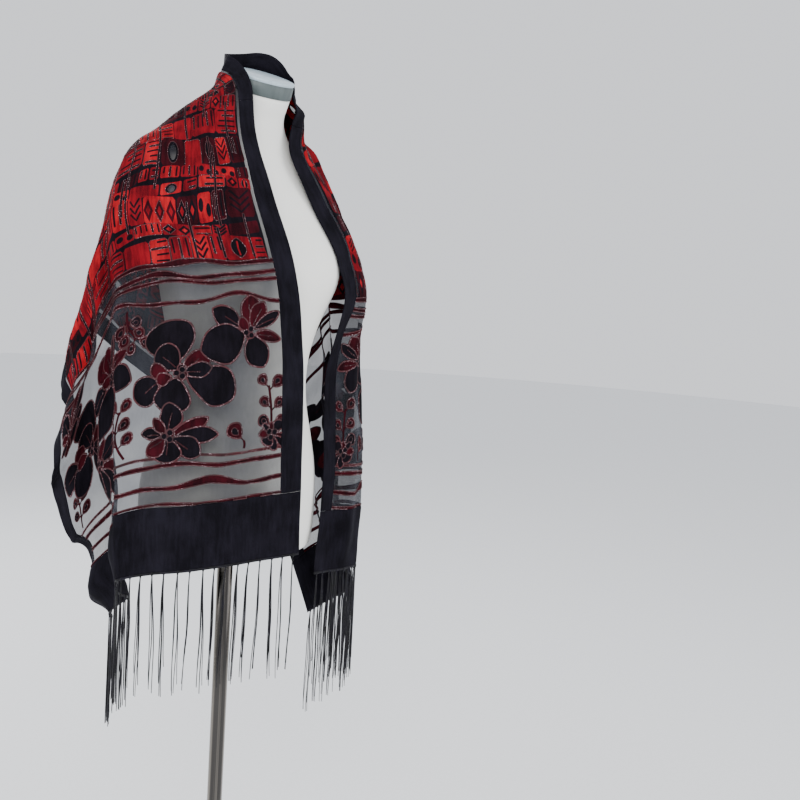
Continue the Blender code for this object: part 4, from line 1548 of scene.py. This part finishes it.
@dataclass
class RedField:
    """The red middle of the cloth: uneven wavy courses of blocks with small plain shapes in them."""

    start: float = -(LEFT_LENGTH - RED_FROM_HEM)
    end: float = RIGHT_LENGTH - RED_FROM_HEM
    inner: float = BORDER_WIDTH + 0.006
    outer: float = SHAWL_WIDTH - BORDER_WIDTH - 0.006
    seed: int = 41
    gap: float = 0.0012
    line_trim: float = 0.0015
    rail_width: float = 0.0038
    rail_sway: float = 0.0035
    wave_height: float = 0.0045
    wave_fade: float = 0.02
    slant: float = 0.0035
    soft_share: float = 0.4
    trimmed_share: float = 0.22
    course_depths: tuple[float, ...] = (0.022, 0.030, 0.036, 0.044, 0.052)
    block_widths: Pair = (0.020, 0.062)
    rail_lengths: Pair = (0.05, 0.17)
    rail_gaps: Pair = (0.03, 0.11)

    def patches(self) -> list[Patch]:
        """Give the field's patches, back to front."""
        dice = random.Random(self.seed)
        corners = np.array([
            (self.start, self.inner), (self.end, self.inner), (self.end, self.outer), (self.start, self.outer)
        ])
        made = [Patch(resampled(corners, 0.01), Tone.BLACK)]
        edges = self.course_edges(dice)
        for course in range(len(edges) - 1):
            self.fill_course(made, (edges[course], edges[course + 1]), 1.7 * course, dice)
        for rail in RAILS:
            self.lay_rail(made, rail, dice)
        return made

    def course_edges(self, dice: random.Random) -> list[float]:
        """Give where the courses start and end along the cloth."""
        edges = [self.start]
        while edges[-1] < self.end:
            edges.append(edges[-1] + dice.choice(self.course_depths))
        stretch = (self.end - self.start) / (edges[-1] - self.start)
        return [self.start + (edge - self.start) * stretch for edge in edges]

    def fill_course(self, made: list[Patch], ends: Pair, phase: float, dice: random.Random) -> None:
        """Fill one course with blocks.

        Args:
            made: The list that the patches join.
            ends: Where the course starts and ends along the cloth.
            phase: The phase of the course's wave.
            dice: The source of chance.
        """
        place = self.inner
        tones = {Tone.BRIGHT: 5, Tone.RED: 7, Tone.MAROON: 3}
        motifs = {
            Motif.PLAIN: 3,
            Motif.LOZENGE: 3,
            Motif.DISCS: 2,
            Motif.LEAF: 2,
            Motif.BARS: 5,
            Motif.WINDOW: 2,
            Motif.CHEVRON: 2,
            Motif.RUNGS: 4,
        }
        while place < self.outer - 0.012:
            width = dice.uniform(*self.block_widths)
            after = self.outer if place + width > self.outer - self.block_widths[0] else place + width
            tone = dice.choices(list(tones), list(tones.values()))[0]
            motif = dice.choices(list(motifs), list(motifs.values()))[0]
            Block(self, *ends, place, after, phase, tone, made, dice).fill(motif)
            place = after

    def lay_rail(self, made: list[Patch], across: float, dice: random.Random) -> None:
        """Lay a broken thin line that runs along the cloth over several courses."""
        place = self.start + dice.uniform(0.01, 0.08)
        while place < self.end - 0.05:
            length = dice.uniform(*self.rail_lengths)
            stop = min(place + length, self.end - 0.006)
            along = np.linspace(place, stop, 30)
            sway = self.rail_sway * np.sin(along * 33.0 + across * 9.0)
            course = columns(along, across + sway)
            made.append(Patch(line_outline(course, self.rail_width), Tone.BLACK, self.line_trim))
            place = stop + dice.uniform(*self.rail_gaps)


@dataclass
class DevorePanel:
    """One stretch of the patterned cloth: a sheer ground, the pile left on it and its glitter lines."""

    side: str
    from_along: float
    to_along: float
    from_across: float = BORDER_WIDTH + 0.5 * SEAM_GAP
    to_across: float = SHAWL_WIDTH - BORDER_WIDTH - 0.5 * SEAM_GAP
    cell: float = 0.0075
    pile_edge: float = 0.0006
    pile_top: float = 0.0012
    pile_back: float = -0.0004
    trim_lift: float = 0.0004
    trim_spacing: float = 0.0034
    trim_top: float = 0.28
    trim_foot: float = 0.2
    merge_distance: float = 0.0002

    def build(self, drape: Drape, patches: list[Patch], finishes: Finishes) -> None:
        """Build the stretch in place of its solid.

        Args:
            drape: The hanging cloth.
            patches: The pattern's patches, back to front.
            finishes: The made materials.
        """
        near = [patch for patch in patches if self.touches(patch)]
        flat, triangles = self.triangles(near)
        owner = self.owners(flat, triangles, near)
        ground = mesh_piece(
            f"ground_{self.side}", drape.at(flat), triangles[:, ::-1].tolist(), [finishes.ground], cloth=flat
        )
        pile = self.pile(drape, flat, triangles, owner, finishes)
        trim = self.trim(drape, near, finishes)
        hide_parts(f"panel_{self.side}")

    def touches(self, patch: Patch) -> bool:
        """Tell whether a patch reaches into this stretch."""
        low = patch.outline.min(axis=0)
        high = patch.outline.max(axis=0)
        return bool(low[0] < self.to_along and high[0] > self.from_along)

    def triangles(self, patches: list[Patch]) -> tuple[Array, Array]:
        """Split the stretch into triangles that keep to every outline.

        Args:
            patches: The patches that reach into it.

        Returns:
            The flat places, and the triangles as rows of place numbers.
        """
        corners = np.array([
            (self.from_along, self.from_across),
            (self.to_along, self.from_across),
            (self.to_along, self.to_across),
            (self.from_along, self.to_across),
        ])
        loops = [resampled(corners, self.cell)] + [patch.outline for patch in patches]
        places = []
        edges = []
        for loop in loops:
            first = len(places)
            places += [Vector(point) for point in loop.tolist()]
            edges += [(first + i, first + (i + 1) % len(loop)) for i in range(len(loop))]
        rows = np.arange(self.from_along + 0.5 * self.cell, self.to_along, self.cell)
        cols = np.arange(self.from_across + 0.5 * self.cell, self.to_across, self.cell)
        for index, row in enumerate(rows):
            shift = 0.25 * self.cell if index % 2 else -0.25 * self.cell
            places += [Vector((row, col + shift)) for col in cols]
        made = delaunay_2d_cdt(places, edges, [], 0, self.merge_distance, False)
        flat = np.array([tuple(place) for place in made[0]])
        triangles = np.array(made[2])
        kept = triangles[self.inside(flat[triangles].mean(axis=1))]
        used, numbers = np.unique(kept, return_inverse=True)
        return flat[used], numbers.reshape(kept.shape)

    def inside(self, places: Array) -> Array:
        """Tell which places lie inside the stretch."""
        held = (places[:, 0] > self.from_along) & (places[:, 0] < self.to_along)
        return held & (places[:, 1] > self.from_across) & (places[:, 1] < self.to_across)

    @staticmethod
    def owners(flat: Array, triangles: Array, patches: list[Patch]) -> Array:
        """Give each triangle's tone number, -1 where the ground shows."""
        middle = flat[triangles].mean(axis=1)
        owner = np.full(len(triangles), Tone.SHEER.value)
        for patch in patches:
            owner[patch.holds(middle)] = patch.tone.value
        return owner

    def pile(
        self, drape: Drape, flat: Array, triangles: Array, owner: Array, finishes: Finishes
    ) -> bpy.types.Object:
        """Raise the pile on its triangles, with soft edges where it meets the ground."""
        covered = triangles[owner >= 0]
        tones = owner[owner >= 0]
        used, numbers = np.unique(covered, return_inverse=True)
        numbers = numbers.reshape(covered.shape)
        places = flat[used]
        sides = np.vstack([numbers[:, [0, 1]], numbers[:, [1, 2]], numbers[:, [2, 0]]])
        side_tones = np.tile(tones, 3)
        keys = np.sort(sides, axis=1)
        keys = keys[:, 0] * len(used) + keys[:, 1]
        _, first, counts = np.unique(keys, return_index=True, return_counts=True)
        rim = first[counts == 1]
        height = np.full(len(used), self.pile_top)
        height[np.unique(sides[rim])] = self.pile_edge
        points = np.vstack([drape.at(places, height), drape.at(places, self.pile_back)])
        count = len(used)
        faces = numbers[:, ::-1].tolist() + (numbers + count).tolist()
        walls = [[int(a), int(b), int(b) + count, int(a) + count] for a, b in sides[rim]]
        tone_rows = np.concatenate([tones, tones, side_tones[rim]])
        cloth = np.vstack([places, places])
        return mesh_piece(f"pile_{self.side}", points, faces + walls, finishes.piles, tone_rows, cloth)

    def trim(self, drape: Drape, patches: list[Patch], finishes: Finishes) -> bpy.types.Object:
        """Lay the glitter lines on the outlines that show."""
        points: list[Array] = []
        cloth: list[Array] = []
        faces: Faces = []
        total = 0
        low = 0.5 * self.pile_edge
        high = self.pile_top + self.trim_lift
        for index, patch in enumerate(patches):
            if patch.trim <= 0.0:
                continue
            for course, closed in self.shown_runs(patch, patches[index + 1 :]):
                band = self.band(course, closed, patch.trim)
                shares = np.tile([self.trim_foot, 1.0, 1.0, self.trim_foot], len(course))
                points.append(drape.at(band, low + (high - low) * shares))
                cloth.append(band)
                faces += self.tube_faces(total, len(course), closed)
                total += len(band)
        flat = np.vstack(cloth)
        return mesh_piece(f"glitter_{self.side}", np.vstack(points), faces, [finishes.trim], cloth=flat)

    def shown_runs(self, patch: Patch, later: list[Patch]) -> list[tuple[Array, bool]]:
        """Give the stretches of an outline that no later patch covers, and whether each is closed."""
        outline = resampled(patch.outline, self.trim_spacing)
        middle = 0.5 * (outline + np.roll(outline, -1, axis=0))
        shown = self.inside(middle)
        low, high = outline.min(axis=0), outline.max(axis=0)
        for other in later:
            if np.all(other.outline.min(axis=0) < high) and np.all(other.outline.max(axis=0) > low):
                shown &= ~other.holds(middle)
        if shown.all():
            return [(outline, True)]
        if not shown.any():
            return []
        start = int(np.argmin(shown))
        order = np.roll(np.arange(len(outline)), -start)
        runs = []
        course = []
        for index in order:
            if shown[index]:
                course.append(outline[index])
            elif course:
                runs.append((np.array(course + [outline[index]]), False))
                course = []
        if course:
            runs.append((np.array(course + [outline[order[0]]]), False))
        return [run for run in runs if len(run[0]) > 2]

    def band(self, course: Array, closed: bool, width: float) -> Array:
        """Give the four flat places of the line's section at each place of its course."""
        if closed:
            run = np.roll(course, -1, axis=0) - np.roll(course, 1, axis=0)
        else:
            run = np.gradient(course, axis=0)
        run = unit(run)
        side = columns(-run[:, 1], run[:, 0]) * width
        rows = [course + share * side for share in (-0.5, -self.trim_top, self.trim_top, 0.5)]
        return np.stack(rows, axis=1).reshape(-1, 2)

    @staticmethod
    def tube_faces(first: int, count: int, closed: bool) -> Faces:
        """Give the faces of a four-sided tube, with its ends capped if it is open."""
        faces = []
        for step in range(count if closed else count - 1):
            here = first + 4 * step
            there = first + 4 * ((step + 1) % count)
            for side in range(4):
                after = (side + 1) % 4
                faces.append([here + side, here + after, there + after, there + side])
        if not closed:
            last = first + 4 * (count - 1)
            faces.append([first + 3, first + 2, first + 1, first])
            faces.append([last, last + 1, last + 2, last + 3])
        return faces


@dataclass
class Fringe:
    """Knotted threads in groups along one hem."""

    side: str
    end_along: float
    seed: int
    sides: int = 5
    runs: int = 14
    knot_sides: int = 8
    spread: float = 0.0065
    roll_half_height: float = 0.0022
    roll_half_depth: float = 0.0011
    roll_sides: int = 8
    roll_steps: int = 150
    roll_inset: float = 0.0008
    side_hint: Triple = (0.36, 0.93, 0.05)
    jitter: float = 0.0012
    knot_step: float = 0.004
    knot_steps: int = 7
    knot_lift: float = 0.001
    knot_length: float = 0.0085
    knot_radius: float = 0.0009
    knot_swell: float = 0.0010
    tight_share: float = 0.4
    tight_spread: float = 0.35
    lean: float = 0.004
    depth: float = 0.003
    bend: float = 0.0025
    thread_start: float = 0.005
    thread_radii: Pair = (0.00066, 0.00100)
    thinning: float = 0.30

    def build(self, drape: Drape, finish: Material) -> bpy.types.Object:
        """Build the fringe in place of its solid."""
        dice = random.Random(self.seed)
        self.points: list[Array] = []
        self.faces: Faces = []
        self.total = 0
        self.hem_roll(drape)
        spacing = SHAWL_WIDTH / FRINGE_GROUPS
        for group in range(FRINGE_GROUPS):
            across = (group + 0.5) * spacing + dice.uniform(-self.jitter, self.jitter)
            root = drape.at(np.array([[self.end_along, across]]))[0]
            next_across = min(across + self.knot_step, SHAWL_WIDTH)
            beside = drape.at(np.array([[self.end_along, next_across]]))[0] - root
            beside[2] = 0.0
            self.group(root, unit(beside), dice)
        points = np.vstack(self.points)
        piece = mesh_piece(f"fringe_{self.side}_threads", points, self.faces, [finish])
        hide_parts(f"fringe_{self.side}")
        return piece

    def tube(self, course: Array, radii: Array, sides: int) -> None:
        """Add one tube along a course."""
        turn = full_turn(sides)[None, :, None]
        run = unit(np.gradient(course, axis=0))
        first = unit(np.cross(run, np.array(self.side_hint)))
        second = np.cross(run, first)
        ring = first[:, None, :] * np.cos(turn) + second[:, None, :] * np.sin(turn)
        self.loft(course[:, None, :] + ring * radii[:, None, None])

    def loft(self, rings: Array) -> None:
        """Add one closed loft through points given by ring and side."""
        count, sides = rings.shape[:2]
        self.points.append(rings.reshape(-1, 3))
        self.faces += [[index + self.total for index in face] for face in loft_faces(count, sides)]
        self.total += count * sides

    def hem_roll(self, drape: Drape) -> None:
        """Add the narrow rolled hem that the threads hang from."""
        across = np.linspace(self.roll_inset, SHAWL_WIDTH - self.roll_inset, self.roll_steps)
        flat = columns(np.full(len(across), self.end_along), across)
        drop = np.array([0.0, 0.0, self.roll_half_height])
        middle = drape.at(flat) - drop
        outward = drape.at(flat, self.roll_half_depth) - drape.at(flat)
        turn = full_turn(self.roll_sides)[None, :, None]
        ring = middle[:, None, :] + outward[:, None, :] * np.cos(turn)
        self.loft(ring + drop[None, None, :] * np.sin(turn))

    def group(self, root: Array, beside: Array, dice: random.Random) -> None:
        """Add one knot and the threads that hang from it.

        Args:
            root: Where the group leaves the hem.
            beside: The level direction along the hem.
            dice: The source of chance.
        """
        outward = np.array([-beside[1], beside[0], 0.0])
        drop = np.linspace(0.0, 1.0, self.knot_steps)
        knot = root + np.outer(self.knot_lift - self.knot_length * drop, np.array([0.0, 0.0, 1.0]))
        swell = np.sin(math.pi * np.clip(drop * 1.1, 0.0, 1.0)) ** 0.7
        self.tube(knot, self.knot_radius + self.knot_swell * swell, self.knot_sides)
        closeness = self.tight_spread if dice.random() < self.tight_share else 1.0
        lean = dice.uniform(-self.lean, self.lean)
        for _ in range(dice.choice((3, 4, 4, 5))):
            length = FRINGE_LENGTH * dice.uniform(0.88, 0.99) * dice.choice((1.0, 1.0, 1.0, 1.0, 0.84))
            apart = dice.uniform(-1.0, 1.0) * self.spread * closeness + lean
            deep = dice.uniform(-1.0, 1.0) * self.depth
            bend = dice.uniform(-self.bend, self.bend)
            part = np.linspace(0.0, 1.0, self.runs)
            sway = 0.0006 * np.sin(9.0 * part + 50.0 * apart)
            away = apart * part**0.8 + bend * np.sin(math.pi * part) + sway
            course = root + np.outer(away, beside) + np.outer(deep * part, outward)
            course[:, 2] -= self.thread_start + (length - self.thread_start) * part
            radii = dice.uniform(*self.thread_radii) * (1.0 - self.thinning * part**3)
            self.tube(course, radii, self.sides)


FLANGE_STEPS = (
    (0.70, 0.0), (0.74, 0.0010), (0.95, 0.0032), (0.985, 0.0042),
    (1.0, 0.0060), (1.0, 0.0155), (0.995, 0.016),
)
BASE_STEPS = (
    (-0.0012, 0.0), (0.0, 0.0010), (0.0, 0.0096), (-0.0008, 0.0118),
    (-0.0024, 0.0133), (-0.0046, 0.0139), (-0.118, 0.0140),
)
CAP_STEPS = (
    (0.0003, 0.0002), (0.0010, 0.0011), (0.0200, 0.0011), (0.0208, 0.0003),
    (0.0216, 0.0003), (0.0222, 0.0014), (0.0256, 0.0016), (0.0268, 0.0008),
    (0.0276, -0.0012), (0.0286, -0.0060), (0.0300, -0.0180), (0.0309, -0.0330),
)
LID_FIRST_RING = 4


@dataclass
class DressForm:
    """The covered torso with its neck cap, and the stand below it."""

    form: FormShape
    sides: int = 128
    skin_rings: int = 120
    sharp_degrees: float = 50.0
    edge_rounding: float = 0.004
    plain_start: float = 0.006
    turned_sides: int = 96
    flange_radius: float = 0.034
    flange_height: float = 0.016
    pole_radius: float = 0.0135
    base_radius: float = 0.155
    base_height: float = 0.014
    gap: float = 0.0003

    def build(self, finishes: Finishes) -> None:
        """Build every piece of the form and its stand."""
        self.torso(finishes.cover)
        self.cap(finishes.cap_side, finishes.cap_top)
        bottom = FORM_RINGS[0].height - self.gap
        low = bottom - self.flange_height
        steps = [(self.flange_radius * share, low + height) for share, height in FLANGE_STEPS]
        self.turned("flange", steps, finishes.fitting, "dark_fitting")
        pole_low = self.base_height + self.gap
        tall = low - pole_low
        pole = [(0.94, 0.0), (1.0, 0.0010), (1.0, 0.5 * tall), (1.0, tall - 0.0013), (0.94, tall - self.gap)]
        steps = [(self.pole_radius * share, pole_low + height) for share, height in pole]
        self.turned("pole", steps, finishes.chrome, "chrome_stand")
        steps = [(self.base_radius + inset, height) for inset, height in BASE_STEPS]
        self.turned("floor_base", steps, finishes.base_plate, "chrome_stand")

    def torso(self, finish: Material) -> None:
        """Build the torso's cover, with its lower edge turned under."""
        bottom, top = FORM_RINGS[0].height, FORM_RINGS[-1].height
        ease = np.array([0.0, 0.0006, 0.0018, 0.0036])
        plain = np.linspace(bottom + self.plain_start, top, self.skin_rings)
        heights = np.concatenate([bottom + ease, plain])
        grow = np.zeros(len(heights))
        grow[: len(ease)] = -self.edge_rounding * (1.0 - ease / self.edge_rounding) ** 2
        points = self.form.points(heights, self.sides, grow).reshape(-1, 3)
        piece = mesh_piece("form_cover", points, loft_faces(len(heights), self.sides), [finish])
        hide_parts("form_torso")

    def cap(self, side_finish: Material, top_finish: Material) -> None:
        """Build the neck cap: a painted side under a lighter rounded lid."""
        steps = np.array(CAP_STEPS)
        neck = FORM_RINGS[-1]
        rings = self.form.points(np.full(len(steps), neck.height), self.sides, steps[:, 1])
        for ring, lift in zip(rings, steps[:, 0]):
            ring += np.array([0.0, -neck.slope * lift, lift])
        faces = loft_faces(len(steps), self.sides)
        tones = [int(min(face) >= LID_FIRST_RING * self.sides) for face in faces]
        piece = mesh_piece("neck_lid", rings.reshape(-1, 3), faces, [side_finish, top_finish], tones)
        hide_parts("neck_cap")

    def turned(self, node: str, profile: list[Pair], finish: Material, slot: str) -> None:
        """Build one turned piece in place of its solid."""
        points = turned_points(profile, self.turned_sides)
        piece = mesh_piece(f"{node}_turned", points, loft_faces(len(profile), self.turned_sides), [finish])
        piece.data.set_sharp_from_angle(angle=math.radians(self.sharp_degrees))
        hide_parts(node)


@dataclass
class Shawl:
    """The shawl's sewn pieces, laid out by their seams."""

    drape: Drape

    def build(self, finishes: Finishes) -> None:
        """Build every sewn piece and both fringes."""
        left_band = -LEFT_LENGTH + BAND_DEPTH
        right_band = RIGHT_LENGTH - BAND_DEPTH
        half = 0.5 * SEAM_GAP
        stretches = (
            ("left", left_band, -SHOULDER_SEAM),
            ("back", -SHOULDER_SEAM, SHOULDER_SEAM),
            ("right", SHOULDER_SEAM, right_band),
        )
        patches = RedField().patches()
        patches += FlowerEnd(ClothEnd(1, RIGHT_LENGTH), 7).patches()
        patches += FlowerEnd(ClothEnd(-1, LEFT_LENGTH), 19).patches()
        outer = SHAWL_WIDTH - BORDER_WIDTH
        for side, start, stop in stretches:
            start, stop = start + half, stop - half
            DevorePanel(side, start, stop).build(self.drape, patches, finishes)
            neck = VelvetShell(f"neck_border_{side}", start, stop, 0.0, BORDER_WIDTH - half, BORDER_WIDTH)
            neck.build(self.drape, finishes.border, ["form_cover"])
            edge = VelvetShell(f"outer_border_{side}", start, stop, outer + half, SHAWL_WIDTH, outer)
            edge.build(self.drape, finishes.border, ["form_cover"])
        bands = (("left", -LEFT_LENGTH, left_band - half, 5), ("right", right_band + half, RIGHT_LENGTH, 23))
        for side, start, stop, seed in bands:
            band = VelvetShell(f"end_band_{side}", start, stop, 0.0, SHAWL_WIDTH)
            band.build(self.drape, finishes.border, ["form_cover"])
            Fringe(side, start if side == "left" else stop, seed).build(self.drape, finishes.thread)


LIGHTS = (
    ("key", (-2.6, -2.3, 2.7), 1.6, 95.0),
    ("fill", (1.9, -2.8, 1.7), 2.2, 42.0),
    ("back", (0.9, 2.7, 2.5), 1.8, 55.0),
    ("side", (-2.8, 1.2, 1.7), 1.6, 30.0),
)


@dataclass
class Studio:
    """A plain pale floor, soft lights and the camera."""

    eye_turn: float = -44.0
    eye_distance: float = 2.2
    eye_height: float = 1.30
    view_yaw: float = -51.52
    view_pitch: float = 7.93
    view_roll: float = 3.70
    focal_pixels: float = 1277.5
    frame_pixels: float = 800.0
    sensor: float = 36.0
    floor_radius: float = 9.0
    room_light: tuple[float, float, float, float] = (0.93, 0.95, 1.0, 1.0)
    room_strength: float = 1.15
    aim_height: float = 1.05

    def build(self, finishes: Finishes) -> None:
        """Set up the floor, the lights and the camera."""
        self.floor(finishes.floor)
        for row in LIGHTS:
            self.light(*row)
        world = bpy.data.worlds.new("room")
        bpy.context.scene.world = world
        world.use_nodes = True
        back = world.node_tree.nodes["Background"]
        back.inputs["Color"].default_value = self.room_light
        back.inputs["Strength"].default_value = self.room_strength
        self.camera()

    def floor(self, finish: Material) -> None:
        """Lay the floor, a broad thin disc whose top is at zero."""
        points = turned_points([(self.floor_radius, -0.02), (self.floor_radius, 0.0)], 96)
        mesh = bpy.data.meshes.new("floor")
        mesh.from_pydata(points.tolist(), [], loft_faces(2, 96))
        mesh.materials.append(finish)
        piece = bpy.data.objects.new("floor", mesh)
        bpy.context.scene.collection.objects.link(piece)

    def light(self, name: str, place: Triple, size: float, power: float) -> None:
        """Hang one soft square light, aimed at the form's chest."""
        lamp = bpy.data.lights.new(name, "AREA")
        lamp.size = size
        lamp.energy = power
        item = bpy.data.objects.new(name, lamp)
        item.location = place
        aim = Vector((0.0, 0.0, self.aim_height)) - Vector(place)
        item.rotation_euler = aim.to_track_quat("-Z", "Y").to_euler()
        bpy.context.scene.collection.objects.link(item)

    def camera(self) -> None:
        """Place the camera as the photograph was taken."""
        turn = math.radians(self.eye_turn)
        eye_x = math.sin(turn) * self.eye_distance
        eye_y = -math.cos(turn) * self.eye_distance
        eye = Vector((eye_x, eye_y, self.eye_height))
        yaw = math.radians(self.view_yaw)
        pitch = math.radians(self.view_pitch)
        roll = math.radians(self.view_roll)
        ahead = Vector((-math.sin(yaw) * math.cos(pitch), math.cos(yaw) * math.cos(pitch), -math.sin(pitch)))
        level = ahead.cross(Vector((0.0, 0.0, 1.0))).normalized()
        upright = level.cross(ahead)
        right = level * math.cos(roll) + upright * math.sin(roll)
        up = upright * math.cos(roll) - level * math.sin(roll)
        lens = bpy.data.cameras.new("camera")
        lens.sensor_width = self.sensor
        lens.lens = self.focal_pixels / self.frame_pixels * self.sensor
        item = bpy.data.objects.new("camera", lens)
        bpy.context.scene.collection.objects.link(item)
        matrix = Matrix((right, up, -ahead)).transposed().to_4x4()
        matrix.translation = eye
        item.matrix_world = matrix
        bpy.context.scene.camera = item


def main() -> None:
    """Build the dressed part and the studio round it."""
    logging.basicConfig(level=logging.INFO, format="%(name)s: %(message)s")
    finishes = Finishes.make()
    form = FormShape()
    DressForm(form).build(finishes)
    Shawl(Drape(form)).build(finishes)
    Studio().build(finishes)


if __name__ == "__main__":
    main()
